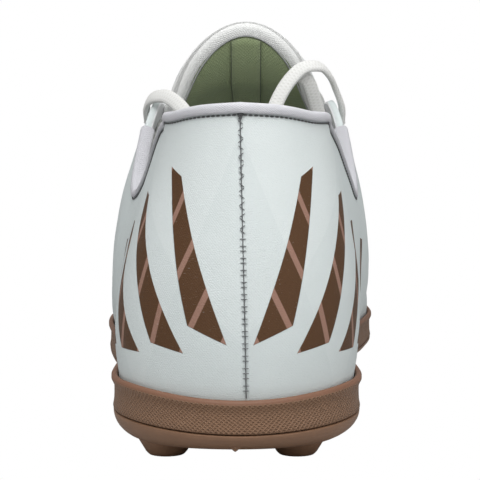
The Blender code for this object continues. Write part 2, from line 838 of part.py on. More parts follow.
def smooth_route(route, spacing):
    """Points at an even spacing on a smooth curve through the route's own points."""
    rows = [(0.0, *route[0])]
    for a, b in zip(route, route[1:]):
        rows.append((rows[-1][0] + (Vector(b) - Vector(a)).length, *b))
    count = max(2, round(rows[-1][0] / spacing))
    return [Vector(smooth(rows, rows[-1][0] * k / count)) for k in range(count + 1)]


def make_lace_end(name, route, finish):
    """A free lace end as a plain round tube."""
    line = bpy.data.curves.new(name, "CURVE")
    line.dimensions = "3D"
    line.bevel_depth = LACE_END_DIAMETER / 2
    line.bevel_resolution = 2
    line.use_fill_caps = True
    points = smooth_route(route, LACE_END_DIAMETER * 2.2)
    spline = line.splines.new("POLY")
    spline.points.add(len(points) - 1)
    for target, point in zip(spline.points, points):
        target.co = (*point, 1.0)
    return place(name, line, finish)


def make_lace_tip(name, route, finish):
    """The stiff tip on a lace end, in line with its last stretch."""
    points = smooth_route(route, LACE_END_DIAMETER * 2.2)
    along = (points[-1] - points[-2]).normalized()
    start = points[-1] + along * GAP
    turn = along.to_track_quat("Z", "Y").to_matrix()
    rings = []
    for radius, reach in ((1.0, 0.0), (1.0, 0.9), (0.7, 1.0)):
        ring = []
        for k in range(8):
            angle = k * math.pi / 4
            across = Vector((math.cos(angle), math.sin(angle), 0)) * radius * LACE_THICKNESS / 2
            ring.append(start + turn @ across + along * TIP_LENGTH * reach)
        rings.append(ring)
    points = [p for ring in rings for p in ring]
    return mesh_object(name, points, ring_faces(3, 8, False) + cap_faces(3, 8), finish)


def set_frame(pieces):
    """Puts the frame's origin at the middle of the shoe's box, on the floor."""
    bpy.context.view_layer.update()
    graph = bpy.context.evaluated_depsgraph_get()
    corners = []
    for piece in pieces:
        mesh = piece.evaluated_get(graph).to_mesh()
        corners += [v.co.copy() for v in mesh.vertices]
        piece.evaluated_get(graph).to_mesh_clear()
    low = [min(c[axis] for c in corners) for axis in range(3)]
    high = [max(c[axis] for c in corners) for axis in range(3)]
    shoe = bpy.data.objects.new("shoe", None)
    bpy.context.scene.collection.objects.link(shoe)
    shoe.location = (-(low[0] + high[0]) / 2, -(low[1] + high[1]) / 2, -low[2])
    for piece in pieces:
        piece.parent = shoe
    return shoe


def main():
    clear_scene()
    skin = material("upper_skin", (0.78, 0.82, 0.81), 0.55)
    tape = material("binding_tape", (0.74, 0.74, 0.78), 0.80)
    lining = material("tongue_lining", (0.30, 0.37, 0.22), 0.90)
    sock = material("insole_cloth", (0.62, 0.66, 0.60), 0.90)
    gum = material("gum_rubber", (0.19, 0.11, 0.07), 0.60)
    cord = material("lace_cotton", (0.86, 0.86, 0.88), 0.85)
    film = material("lace_tip_film", (0.88, 0.89, 0.90), 0.30)
    pieces = [
        make_upper(skin),
        make_binding(tape),
        make_tongue(lining),
        ray_solid("insole", insole_profile, sock),
        ray_solid("midsole", midsole_profile, gum),
        make_outsole(gum),
    ]
    pieces += make_lacing(cord)
    for side, route in (("lateral", LATERAL_END_ROUTE), ("medial", MEDIAL_END_ROUTE)):
        pieces.append(make_lace_end(f"lace_end_{side}", route, cord))
        pieces.append(make_lace_tip(f"lace_tip_{side}", route, film))
    set_frame(pieces)


main()
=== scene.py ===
"""Dresses a left football shoe for artificial turf that stands on its lugs.

Metres. The shoe's own coordinates have the back of the heel at y = 0, the toe along +Y, the lateral side at
-X and the floor at z = 0, and PLACE moves them to the frame. Sections of the upper stand on plan rays: a
station from 0 to 3 names a ray, with 0 at the heel's back, 1 at its side, 2 beside the throat's front end
and 3 at the toe.
"""

import functools
import math

import bmesh
import bpy
from mathutils import Matrix, Vector, noise


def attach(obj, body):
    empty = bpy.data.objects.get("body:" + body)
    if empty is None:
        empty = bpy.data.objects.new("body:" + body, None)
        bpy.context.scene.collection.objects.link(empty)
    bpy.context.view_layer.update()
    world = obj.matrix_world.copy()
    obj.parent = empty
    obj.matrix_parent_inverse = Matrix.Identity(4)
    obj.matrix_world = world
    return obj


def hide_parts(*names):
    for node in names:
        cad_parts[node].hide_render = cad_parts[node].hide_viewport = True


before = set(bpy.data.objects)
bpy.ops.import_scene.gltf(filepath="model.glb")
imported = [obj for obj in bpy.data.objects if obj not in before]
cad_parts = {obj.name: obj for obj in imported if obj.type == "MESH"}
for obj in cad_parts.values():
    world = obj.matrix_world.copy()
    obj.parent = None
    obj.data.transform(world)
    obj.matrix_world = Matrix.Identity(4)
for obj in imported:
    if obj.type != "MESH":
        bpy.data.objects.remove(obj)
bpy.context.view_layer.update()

PLACE = Vector((-0.001057, -0.134516, 0.0))

LENGTH, BALL_WIDTH, HEEL_WIDTH = 0.270, 0.0915, 0.0620
HEEL_HEIGHT, ANKLE_HEIGHT, THROAT_HEIGHT, VAMP_HEIGHT = 0.0835, 0.0612, 0.0872, 0.0560
TONGUE_RISE, TOE_SPRING = 0.0130, 0.0110
LUG_HEIGHT, PARTING_HEIGHT, BED_HEIGHT, RIM_HEIGHT = 0.0028, 0.0093, 0.0125, 0.0181
RIM_DIP, PARTING_DIP = 0.0019, 0.0013
HEEL_DROP, ARCH_RISE, LATERAL_EDGE_ROUND, MEDIAL_EDGE_ROUND = 0.0024, 0.0026, 0.0080, 0.0110
WALL, RIM_WALL, RIM_FLARE, INSOLE_THICKNESS, TONGUE_THICKNESS = 0.0022, 0.0014, 0.0003, 0.0034, 0.0036
GAP, INSOLE_EDGE_GAP, TONGUE_GAP = 0.0003, 0.0004, 0.0006
TONGUE_TOP_WIDTH, TONGUE_BASE_WIDTH, TONGUE_LEAN, TONGUE_CORNER = 0.0620, 0.0400, 0.0060, 0.95
LUG_BASE_RADIUS, LUG_TIP_RADIUS = 0.0070, 0.0046
SMALL_LUG_BASE_RADIUS, SMALL_LUG_TIP_RADIUS = 0.0044, 0.0030
LATERAL_LUG_DISTANCE, MEDIAL_LUG_DISTANCE, LUG_ROOT = 0.0116, 0.0142, 0.0012
EYELET_RADIUS, EYELET_EDGE_DISTANCE, EYELET_PAIRS = 0.0023, 0.0060, 6
LACE_WIDTH, LACE_THICKNESS, LACE_END_DIAMETER, TIP_LENGTH = 0.0042, 0.0018, 0.0032, 0.0140
HEEL_CENTRE, THROAT_FRONT, BINDING_END = 0.115, 0.622, 0.338
FIRST_EYELET, LAST_EYELET, TONGUE_END = 0.381, 0.585, 0.690
LATERAL, MEDIAL = -1, 1
SIDES = ((LATERAL, "lateral"), (MEDIAL, "medial"))
CAMERA_DISTANCE, CAMERA_HEIGHT, CAMERA_TILT, CAMERA_LENS = 0.335, 0.0756, 3.83, 110.9
HEEL_STEPS, WAIST_STEPS, TOE_STEPS, WALL_STEPS = 30, 78, 38, 34
HEEL_ARC = 0.0330

OUTLINE = (
    (0.000, 0.000, 0.000), (0.019, -0.004, 0.268), (0.044, -0.008, 0.390), (0.078, -0.012, 0.468),
    (0.141, -0.015, 0.500), (0.259, -0.022, 0.486), (0.370, -0.032, 0.469), (0.481, -0.031, 0.466),
    (0.611, -0.008, 0.481), (0.685, 0.011, 0.491), (0.741, 0.024, 0.484), (0.833, 0.053, 0.432),
    (0.907, 0.078, 0.342), (0.963, 0.098, 0.222), (1.000, 0.108, 0.000),
)
LEVELS = (
    (0.00, 0.00, 0.50, 0.00), (0.06, 0.00, 0.00, 0.00), (0.28, 0.10, 0.00, 0.00), (0.41, 0.45, 1.00, 0.00),
    (0.54, 0.85, 0.20, 0.00), (0.62, 1.00, 0.00, 0.00), (0.74, 1.00, 0.00, 0.00), (0.83, 1.00, 0.00, 0.20),
    (0.92, 1.00, 0.00, 0.56), (1.00, 1.00, 0.00, 1.00),
)
SECTIONS = (
    (0.000, 0.105, 0.105, 0.36, -0.030, 0.32), (0.500, 0.120, 0.120, 0.36, 0.040, 0.32),
    (1.000, 0.130, 0.150, 0.36, 0.155, 0.33), (1.152, 0.165, 0.250, 0.33, 0.195, 0.35),
    (1.336, 0.225, 0.385, 0.32, 0.190, 0.35), (1.489, 0.250, 0.440, 0.30, 0.290, 0.35),
    (1.687, 0.200, 0.350, 0.35, 0.370, 0.24), (1.833, 0.140, 0.180, 0.42, 0.400, 0.17),
    (2.000, 0.080, 0.100, 0.45, 0.400, 0.13), (2.330, 0.045, 0.050, 0.46, 0.410, 0.13),
    (2.670, 0.020, 0.020, 0.48, 0.450, 0.26), (3.000, 0.005, 0.005, 0.50, 0.480, 0.46),
)


def between(low, high, share):
    return low + (high - low) * share


def collar_height(share):
    return between(ANKLE_HEIGHT, HEEL_HEIGHT, share)


def throat_height(share):
    return between(ANKLE_HEIGHT, THROAT_HEIGHT, share)


def instep_height(share):
    return between(VAMP_HEIGHT, THROAT_HEIGHT, share)


TOP_EDGE = (
    (0.000, 0.432, 0.000, HEEL_HEIGHT), (0.250, 0.402, 0.006, collar_height(0.975)),
    (0.500, 0.365, 0.014, collar_height(0.925)), (1.000, 0.318, 0.028, collar_height(0.870)),
    (1.066, 0.338, 0.024, collar_height(0.810)), (1.152, 0.379, 0.028, collar_height(0.610)),
    (1.234, 0.430, 0.031, collar_height(0.250)), (1.288, 0.459, 0.026, collar_height(0.050)),
    (1.328, 0.472, 0.021, ANKLE_HEIGHT),
    (1.370, 0.470, 0.018, throat_height(0.130)), (1.420, 0.440, 0.018, throat_height(0.500)),
    (1.452, 0.410, 0.018, throat_height(0.800)), (1.489, 0.372, 0.018, THROAT_HEIGHT),
    (1.577, 0.321, 0.022, instep_height(0.865)), (1.687, 0.237, 0.022, instep_height(0.60)),
    (1.833, 0.150, 0.017, instep_height(0.26)), (2.000, 0.085, 0.010, VAMP_HEIGHT),
    (2.330, 0.075, 0.008, VAMP_HEIGHT), (3.000, 0.065, 0.000, VAMP_HEIGHT),
)
LUG_ROWS = (
    (0.074, 2, True), (0.122, 1, False), (0.168, 2, True), (0.215, 1, False), (0.262, 2, True),
    (0.520, 2, True), (0.560, 1, False), (0.590, 2, True), (0.625, 1, False), (0.660, 2, True),
    (0.695, 1, False), (0.730, 2, True), (0.765, 1, False), (0.800, 2, True), (0.845, 1, False),
    (0.870, 2, True), (0.925, 1, True),
)
LATERAL_END_ROUTE = (
    (-0.0272, 0.1028, 0.0820), (-0.0274, 0.1002, 0.0848), (-0.0265, 0.0974, 0.0872),
    (-0.0246, 0.0945, 0.0884), (-0.0219, 0.0918, 0.0885), (-0.0190, 0.0885, 0.0871),
    (-0.0158, 0.0840, 0.0840), (-0.0130, 0.0800, 0.0785), (-0.0108, 0.0772, 0.0710),
    (-0.0095, 0.0757, 0.0630), (-0.0087, 0.0748, 0.0530), (-0.0082, 0.0750, 0.0410),
    (-0.0080, 0.0785, 0.0300), (-0.0076, 0.0860, 0.0215), (-0.0072, 0.0970, 0.0178),
    (-0.0070, 0.1080, 0.0171),
)
MEDIAL_END_ROUTE = (
    (0.0299, 0.1025, 0.0819), (0.0298, 0.0998, 0.0856), (0.0280, 0.0974, 0.0902), (0.0256, 0.0936, 0.0946),
    (0.0222, 0.0902, 0.0970), (0.0180, 0.0876, 0.0964), (0.0138, 0.0854, 0.0924), (0.0104, 0.0836, 0.0865),
    (0.0078, 0.0816, 0.0785), (0.0060, 0.0794, 0.0685), (0.0052, 0.0778, 0.0570), (0.0050, 0.0772, 0.0450),
    (0.0052, 0.0794, 0.0335), (0.0056, 0.0850, 0.0235), (0.0060, 0.0945, 0.0178), (0.0062, 0.1060, 0.0171),
)
INNER_STRAND_ROUTE = (
    (0.0172, 0.0893, 0.0945), (0.0194, 0.0903, 0.0925), (0.0208, 0.0920, 0.0893), (0.0219, 0.0940, 0.0860),
    (0.0232, 0.0960, 0.0825), (0.0245, 0.0985, 0.0790),
)


# Forms shared with the part: the sole's outline and levels, and the sections of the upper
def slope(rows, k, c):
    steps = []
    for i in (k - 1, k):
        if 0 <= i < len(rows) - 1:
            steps.append((rows[i + 1][c] - rows[i][c]) / (rows[i + 1][0] - rows[i][0]))
    if len(steps) == 2 and steps[0] * steps[1] <= 0:
        return 0.0
    return sum(steps) / len(steps)


def smooth(rows, x):
    """The table's columns at x, on a smooth curve through its rows."""
    x = min(max(x, rows[0][0]), rows[-1][0])
    k = max(i for i in range(len(rows) - 1) if rows[i][0] <= x)
    low, high = rows[k], rows[k + 1]
    span = high[0] - low[0]
    t = (x - low[0]) / span
    found = []
    for c in range(1, len(low)):
        a, b = 2 * t**3 - 3 * t**2 + 1, t**3 - 2 * t**2 + t
        d, e = -2 * t**3 + 3 * t**2, t**3 - t**2
        bends = slope(rows, k, c) * span * b + slope(rows, k + 1, c) * span * e
        found.append(a * low[c] + d * high[c] + bends)
    return found


def rounded(share):
    return math.acos(1 - 2 * min(max(share, 0.0), 1.0))


ROUND_OUTLINE = tuple((rounded(u), centre, half) for u, centre, half in OUTLINE)


def width_at(y):
    t = min(max((y / LENGTH - 0.20) / 0.48, 0.0), 1.0)
    return between(HEEL_WIDTH, BALL_WIDTH, t * t * (3 - 2 * t))


def outline_at(y):
    centre, half = smooth(ROUND_OUTLINE, rounded(y / LENGTH))
    return (centre - half) * width_at(y), (centre + half) * width_at(y)


def ray(station, side):
    heel_y, throat_y = HEEL_CENTRE * LENGTH, THROAT_FRONT * LENGTH
    if station < 1:
        angle = station * math.pi / 2
        return Vector((0, heel_y)), Vector((side * math.sin(angle), -math.cos(angle)))
    if station <= 2:
        return Vector((0, between(heel_y, throat_y, station - 1))), Vector((side, 0))
    angle = (station - 2) * math.pi / 2
    return Vector((0, throat_y)), Vector((side * math.cos(angle), math.sin(angle)))


@functools.lru_cache(maxsize=None)
def sole_radius(station, side):
    origin, direction = ray(station, side)
    low, high = 0.0, LENGTH
    for _ in range(34):
        middle = (low + high) / 2
        x, y = origin + direction * middle
        if 0 < y < LENGTH and outline_at(y)[0] < x < outline_at(y)[1]:
            low = middle
        else:
            high = middle
    return low


def level(height, y):
    drop, _, spring = smooth(LEVELS, y / LENGTH)
    return height - HEEL_DROP * drop + TOE_SPRING * spring


def at_ray(station, side, along, height):
    origin, direction = ray(station, side)
    spot = origin + direction * along
    return Vector((spot.x, spot.y, height))


def level_at(station, side, along, height):
    return level(height, at_ray(station, side, along, 0).y)


def rim(station, side, along):
    dip = (1 - min(station / 0.7, 1.0) ** 2) ** 2
    return level_at(station, side, along, RIM_HEIGHT - RIM_DIP * dip)


def sole_bottom(y):
    _, arch, spring = smooth(LEVELS, y / LENGTH)
    return LUG_HEIGHT + ARCH_RISE * arch + TOE_SPRING * spring


def upper_radius(station, side):
    return sole_radius(station, side) + RIM_FLARE - RIM_WALL - GAP


@functools.lru_cache(maxsize=None)
def section_controls(station, side):
    lateral, medial, rise, lean, drop = smooth(SECTIONS, station)
    swell = lateral if side == LATERAL else medial
    gap, shift, top = smooth(TOP_EDGE, station)
    origin, _ = ray(station, side)
    foot = upper_radius(station, side)
    low = rim(station, side, foot)
    edge = (gap + side * shift) * width_at(origin.y)
    tall = top - low
    return (
        Vector((foot, low)),
        Vector((foot * (1 + swell), low + rise * tall)),
        Vector((edge + lean * foot, top - drop * tall)),
        Vector((edge, top)),
    )


def bezier(points, t):
    a, b, c, d = points
    return a * (1 - t) ** 3 + b * 3 * t * (1 - t) ** 2 + c * 3 * t * t * (1 - t) + d * t**3


def skin(station, side, t, lift=0.0):
    """A point of the upper's outer face, a share t of the way from the rim to the top edge."""
    spot = at_ray(station, side, *bezier(section_controls(station, side), t))
    if not lift:
        return spot
    return spot + skin_out(station, side, t) * lift


def skin_out(station, side, t):
    """The outward normal of the upper's outer face."""
    step = 0.004
    low, high = max(t - step, 0.0), min(t + step, 1.0)
    up = skin(station, side, high) - skin(station, side, low)
    ahead = skin(min(station + step, 3.0), side, t) - skin(max(station - step, 0.0), side, t)
    if station < step:
        ahead = skin(station + step, side, t) - skin(step - station, -side, t)
    if station > 3 - step:
        ahead = skin(6 - station - step, -side, t) - skin(station - step, side, t)
    return up.cross(ahead).normalized() * -side


@functools.lru_cache(maxsize=None)
def full_section(y):
    """The skin's section at y over the instep, closed over the throat, and the lengths from its crown."""
    heel_y, throat_y = HEEL_CENTRE * LENGTH, THROAT_FRONT * LENGTH
    station = 1 + (y - heel_y) / (throat_y - heel_y)
    sides = {side: section_controls(station, side) for side in (LATERAL, MEDIAL)}
    steps = 12
    points = []
    for k in range(steps):
        along, height = bezier(sides[LATERAL], between(0.35, 1.0, k / steps))
        points.append(Vector((-along, y, height)))
    ends = []
    for side in (LATERAL, MEDIAL):
        edge, handle = sides[side][3], sides[side][3] - sides[side][2]
        handle = handle.normalized() * (sides[LATERAL][3].x + sides[MEDIAL][3].x) * 0.34
        pull = edge + handle
        ends.append((Vector((side * edge.x, edge.y)), Vector((side * pull.x, pull.y))))
    arch = (ends[0][0], ends[0][1], ends[1][1], ends[1][0])
    crown = len(points) + steps // 2
    for k in range(steps + 1):
        x, height = bezier(arch, k / steps)
        points.append(Vector((x, y, height)))
    for k in range(1, steps + 1):
        along, height = bezier(sides[MEDIAL], between(1.0, 0.35, k / steps))
        points.append(Vector((along, y, height)))
    lengths = [0.0]
    for a, b in zip(points, points[1:]):
        lengths.append(lengths[-1] + (b - a).length)
    return points, [one - lengths[crown] for one in lengths]


def skin_point(y, across):
    points, lengths = full_section(y)
    across = min(max(across, lengths[0]), lengths[-1])
    k = max(i for i in range(len(points) - 1) if lengths[i] <= across)
    share = (across - lengths[k]) / (lengths[k + 1] - lengths[k])
    return points[k].lerp(points[k + 1], share)


def skin_normal(y, across):
    step = 0.001
    along = skin_point(y + step, across) - skin_point(y - step, across)
    over = skin_point(y, across + step) - skin_point(y, across - step)
    return over.cross(along).normalized()


def over_instep(y, across, lift):
    return skin_point(y, across) + skin_normal(y, across) * lift


def edge_across(y, side):
    points, lengths = full_section(y)
    steps = (len(points) - 1) // 3
    return lengths[steps] if side == LATERAL else lengths[2 * steps]


def eyelet_place(k, side):
    y = between(FIRST_EYELET, LAST_EYELET, k / (EYELET_PAIRS - 1)) * LENGTH
    return y, edge_across(y, side) + side * EYELET_EDGE_DISTANCE


def vamp_height(x, y):
    origin = Vector((0, THROAT_FRONT * LENGTH))
    reach = Vector((x, y)) - origin
    side = LATERAL if x < 0 else MEDIAL
    station = 2 + math.atan2(reach.y, abs(reach.x)) / (math.pi / 2)
    controls = section_controls(station, side)
    if reach.length <= controls[3].x:
        return controls[3].y
    low, high = 0.3, 1.0
    for _ in range(24):
        middle = (low + high) / 2
        if bezier(controls, middle).x > reach.length:
            low = middle
        else:
            high = middle
    return bezier(controls, low).y


def station_loop():
    """Every ray in turn: from the heel's back along the lateral side to the toe, and back."""
    stations = [k / HEEL_STEPS for k in range(HEEL_STEPS)]
    stations += [1 + k / WAIST_STEPS for k in range(WAIST_STEPS)]
    stations += [2 + k / TOE_STEPS for k in range(TOE_STEPS + 1)]
    forward = [(s, LATERAL) for s in stations]
    back = [(s, MEDIAL) for s in reversed(stations[1:-1])]
    return forward + back


def arc_from_seam(station, side):
    """How far round the shoe a ray lies from the heel's seam, medial positive."""
    quarter = HEEL_ARC * math.pi / 2
    waist = (THROAT_FRONT - HEEL_CENTRE) * LENGTH
    arc = min(station, 1.0) * quarter + min(max(station - 1, 0.0), 1.0) * waist
    return side * (arc + max(station - 2, 0.0) * 0.075)


def grid_normals(grid, closed):
    rows, columns = len(grid), len(grid[0])
    found = []
    for i in range(rows):
        line = []
        for j in range(columns):
            ahead = grid[(i + 1) % rows if closed else min(i + 1, rows - 1)][j]
            behind = grid[i - 1 if closed else max(i - 1, 0)][j]
            up, down = grid[i][min(j + 1, columns - 1)], grid[i][max(j - 1, 0)]
            line.append((up - down).cross(ahead - behind).normalized())
        found.append(line)
    return found


def shifted(grid, normals, distance):
    return [[p + n * distance for p, n in zip(a, b)] for a, b in zip(grid, normals)]


# Making and finishing pieces
def put(thing, *replaced):
    """A finished piece rides on the shoe and may stand for CAD nodes."""
    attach(thing, "root")
    if replaced:
        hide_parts(*replaced)
    return thing


def pick(thing):
    bpy.ops.object.select_all(action="DESELECT")
    thing.select_set(True)
    bpy.context.view_layer.objects.active = thing


def settle(thing, angle=50):
    """Applies the piece's place and shades it smooth but for its corners."""
    pick(thing)
    bpy.ops.object.transform_apply(location=True, rotation=True, scale=True)
    bpy.ops.object.shade_smooth_by_angle(angle=math.radians(angle))
    return thing


def finish_with(thing, kind, **settings):
    """Adds a modifier with its settings and applies it."""
    pick(thing)
    bpy.ops.object.modifier_add(type=kind)
    step = thing.modifiers[-1]
    for key, value in settings.items():
        setattr(step, key, value)
    bpy.ops.object.modifier_apply(modifier=step.name)
    return thing


def loft(name, lines, materials, wrap_lines=False, wrap_points=True, caps=False, around=None, along=None,
         inner_from=None, angle=50):
    """A skin through lines of points. Its map has the distance around in u and the height in v."""
    work = bmesh.new()
    chart = work.loops.layers.uv.new("surface")
    count, size = len(lines), len(lines[0])
    corners = [[work.verts.new(p + PLACE) for p in line] for line in lines]
    for i in range(count if wrap_lines else count - 1):
        k = (i + 1) % count
        near, far = (around[i], around[k]) if around else (i / count, (i + 1) / count)
        if around and abs(near - far) > 0.1:
            near = abs(near)
        for j in range(size if wrap_points else size - 1):
            m = (j + 1) % size
            face = work.faces.new((corners[i][j], corners[i][m], corners[k][m], corners[k][j]))
            if inner_from is not None and j >= inner_from:
                face.material_index = 1
            spots = ((near, i, j), (near, i, m), (far, k, m), (far, k, j))
            for loop, (u, row, column) in zip(face.loops, spots):
                loop[chart].uv = (u, along[row][column] if along else lines[row][column].z)
    if caps:
        for line in (corners[0], corners[-1][::-1]):
            work.faces.new(line)
    bmesh.ops.remove_doubles(work, verts=work.verts, dist=1e-6)
    bmesh.ops.dissolve_degenerate(work, edges=work.edges, dist=1e-7)
    bmesh.ops.recalc_face_normals(work, faces=work.faces)
    if wrap_points and work.calc_volume(signed=True) < 0:
        bmesh.ops.reverse_faces(work, faces=work.faces)
    mesh = bpy.data.meshes.new(name)
    work.to_mesh(mesh)
    work.free()
    for one in materials:
        mesh.materials.append(one)
    thing = bpy.data.objects.new(name, mesh)
    bpy.context.scene.collection.objects.link(thing)
    pick(thing)
    bpy.ops.object.shade_smooth_by_angle(angle=math.radians(angle))
    return thing


def copies(name, template, places, finish):
    """Many copies of one small mesh in one piece, each at its own matrix. The template is then removed."""
    work = bmesh.new()
    for place in places:
        start = len(work.verts)
        work.from_mesh(template.data)
        work.verts.ensure_lookup_table()
        bmesh.ops.transform(work, matrix=Matrix.Translation(PLACE) @ place, verts=work.verts[start:])
    mesh = bpy.data.meshes.new(name)
    work.to_mesh(mesh)
    work.free()
    mesh.materials.append(finish)
    thing = bpy.data.objects.new(name, mesh)
    bpy.context.scene.collection.objects.link(thing)
    bpy.data.objects.remove(template, do_unlink=True)
    pick(thing)
    bpy.ops.object.shade_smooth_by_angle(angle=math.radians(60))
    return put(thing)


def turned(spot, along, out):
    """A matrix with X along the thread, Z out of the surface."""
    x = along.normalized()
    y = out.cross(x).normalized()
    z = x.cross(y)
    turn = Matrix((x, y, z)).transposed().to_4x4()
    return Matrix.Translation(spot) @ turn


def stitch_template(length, thickness):
    """One stitch: a round strand whose ends dip into the cloth."""
    bpy.ops.mesh.primitive_uv_sphere_add(segments=8, ring_count=6, radius=0.5)
    one = bpy.context.active_object
    one.scale = (thickness, thickness, length)
    one.rotation_euler = (0, math.pi / 2, 0)
    return settle(one)


def stitch_row(name, spots, outs, pitch, length, thickness, finish):
    """Stitches at an even pitch along a line of points on the surface."""
    lengths = [0.0]
    for a, b in zip(spots, spots[1:]):
        lengths.append(lengths[-1] + (b - a).length)
    places = []
    for n in range(int(lengths[-1] / pitch)):
        reach = (n + 0.5) * pitch
        k = max(i for i in range(len(spots) - 1) if lengths[i] <= reach)
        share = (reach - lengths[k]) / (lengths[k + 1] - lengths[k])
        spot = spots[k].lerp(spots[k + 1], share)
        places.append(turned(spot, spots[k + 1] - spots[k], outs[k].lerp(outs[k + 1], share)))
    return copies(name, stitch_template(length, thickness), places, finish)


def sweep(name, centres, outs, width, thickness, finish, sides=14, squareness=0.75, girth=2.0):
    """A flat or round strand along points, with its flat side towards outs. The map follows the strand."""
    lines, along, reach = [], [], 0.0
    for k, (centre, out) in enumerate(zip(centres, outs)):
        heading = (centres[min(k + 1, len(centres) - 1)] - centres[max(k - 1, 0)]).normalized()
        side = heading.cross(out).normalized()
        over = side.cross(heading).normalized()
        line = []
        for turn in range(sides):
            angle = (turn + 0.5) * 2 * math.pi / sides
            flat, tall = math.cos(angle), math.sin(angle)
            flat = math.copysign(abs(flat) ** squareness, flat)
            tall = math.copysign(abs(tall) ** squareness, tall)
            line.append(centre + side * flat * width / 2 + over * tall * thickness / 2)
        lines.append(line)
        if k:
            reach += (centre - centres[k - 1]).length
        along.append(reach)
    rounds = [[turn / sides * girth for turn in range(sides)] for _ in lines]
    return loft(name, lines, [finish], caps=True, around=along, along=rounds, angle=60)


def carried(centres, first_out):
    """Turns a first outward direction along a line of points without twisting."""
    outs, out = [], first_out
    for k in range(len(centres)):
        heading = (centres[min(k + 1, len(centres) - 1)] - centres[max(k - 1, 0)]).normalized()
        out = (out - heading * out.dot(heading)).normalized()
        outs.append(out)
    return outs


def smooth_route(route, spacing):
    rows = [(0.0, *route[0])]
    for a, b in zip(route, route[1:]):
        rows.append((rows[-1][0] + (Vector(b) - Vector(a)).length, *b))
    count = max(2, round(rows[-1][0] / spacing))
    return [Vector(smooth(rows, rows[-1][0] * k / count)) for k in range(count + 1)]


# Node helpers
def wire(tree, kind, inputs=None, **settings):
    """A node with its settings. An input is a value or another node's output."""
    node = tree.nodes.new(kind)
    for key, value in settings.items():
        setattr(node, key, value)
    for key, value in (inputs or {}).items():
        if isinstance(value, bpy.types.NodeSocket):
            tree.links.new(value, node.inputs[key])
        else:
            node.inputs[key].default_value = value
    return node


def sums(tree, operation, a, b=0.0, clamp=False):
    return wire(tree, "ShaderNodeMath", {0: a, 1: b}, operation=operation, use_clamp=clamp).outputs[0]


def times(tree, a, b, clamp=False):
    return sums(tree, "MULTIPLY", a, b, clamp)


def plus(tree, a, b, clamp=False):
    return sums(tree, "ADD", a, b, clamp)


def less(tree, a, b, clamp=False):
    return sums(tree, "SUBTRACT", a, b, clamp)


def ratio(tree, a, b, clamp=False):
    return sums(tree, "DIVIDE", a, b, clamp)


def blend_colour(tree, share, a, b, kind="MIX"):
    return wire(tree, "ShaderNodeMix", {0: share, 6: a, 7: b}, data_type="RGBA", blend_type=kind).outputs[2]


def group(name, inputs, outputs):
    """An empty node group with named sockets, and its two ends."""
    tree = bpy.data.node_groups.new(name, "ShaderNodeTree")
    for label, kind in inputs:
        tree.interface.new_socket(name=label, in_out="INPUT", socket_type=kind)
    for label, kind in outputs:
        tree.interface.new_socket(name=label, in_out="OUTPUT", socket_type=kind)
    return tree, tree.nodes.new("NodeGroupInput").outputs, tree.nodes.new("NodeGroupOutput").inputs


def use(tree, made, **inputs):
    node = tree.nodes.new("ShaderNodeGroup")
    node.node_tree = made
    for key, value in inputs.items():
        if isinstance(value, bpy.types.NodeSocket):
            tree.links.new(value, node.inputs[key])
        else:
            node.inputs[key].default_value = value
    return node.outputs


NUMBER, ARROW = "NodeSocketFloat", "NodeSocketVector"


def make_weave_group():
    """Crossing threads of a given pitch on a map in metres."""
    tree, given, made = group("thread_weave", [("Map", ARROW), ("Pitch", NUMBER)], [("Height", NUMBER)])
    parts = wire(tree, "ShaderNodeSeparateXYZ", {0: given["Map"]}).outputs
    turns = [times(tree, ratio(tree, parts[axis], given["Pitch"]), 2 * math.pi) for axis in (0, 1)]
    warp, weft = (sums(tree, "SINE", turn) for turn in turns)
    tree.links.new(sums(tree, "MULTIPLY_ADD", times(tree, warp, weft), 0.5), made["Height"])
    return tree


def make_grain_group():
    """Fine uneven grain, drawn out along one direction, and broad soft patches."""
    tree, given, made = group(
        "cloth_grain",
        [("Map", ARROW), ("Scale", NUMBER), ("Stretch", NUMBER)],
        [("Fine", NUMBER), ("Broad", NUMBER)],
    )
    size = wire(tree, "ShaderNodeCombineXYZ", {0: 1.0, 1: given["Stretch"], 2: 1.0}).outputs[0]
    drawn = wire(tree, "ShaderNodeVectorMath", {0: given["Map"], 1: size}, operation="MULTIPLY").outputs[0]
    fine = wire(tree, "ShaderNodeTexNoise",
                {"Vector": drawn, "Scale": given["Scale"], "Detail": 6.0, "Roughness": 0.65})
    broad = wire(tree, "ShaderNodeTexNoise", {"Vector": given["Map"], "Scale": 38.0, "Detail": 3.0})
    tree.links.new(fine.outputs["Fac"], made["Fine"])
    tree.links.new(broad.outputs["Fac"], made["Broad"])
    return tree


def make_hatch_group():
    """Fine ridges that cross on two slants, as pressed into the foxing."""
    tree, given, made = group("pressed_hatch", [("Map", ARROW), ("Pitch", NUMBER)], [("Height", NUMBER)])
    parts = wire(tree, "ShaderNodeSeparateXYZ", {0: given["Map"]}).outputs
    ridges = []
    for lean in (1.6, -1.1):
        slant = sums(tree, "MULTIPLY_ADD", parts[1], lean)
        slant.node.inputs[2].default_value = 0.0
        total = plus(tree, parts[0], slant)
        turn = times(tree, ratio(tree, total, given["Pitch"]), 2 * math.pi)
        ridges.append(sums(tree, "POWER", sums(tree, "ABSOLUTE", sums(tree, "SINE", turn)), 3.0))
    tree.links.new(sums(tree, "MAXIMUM", *ridges), made["Height"])
    return tree


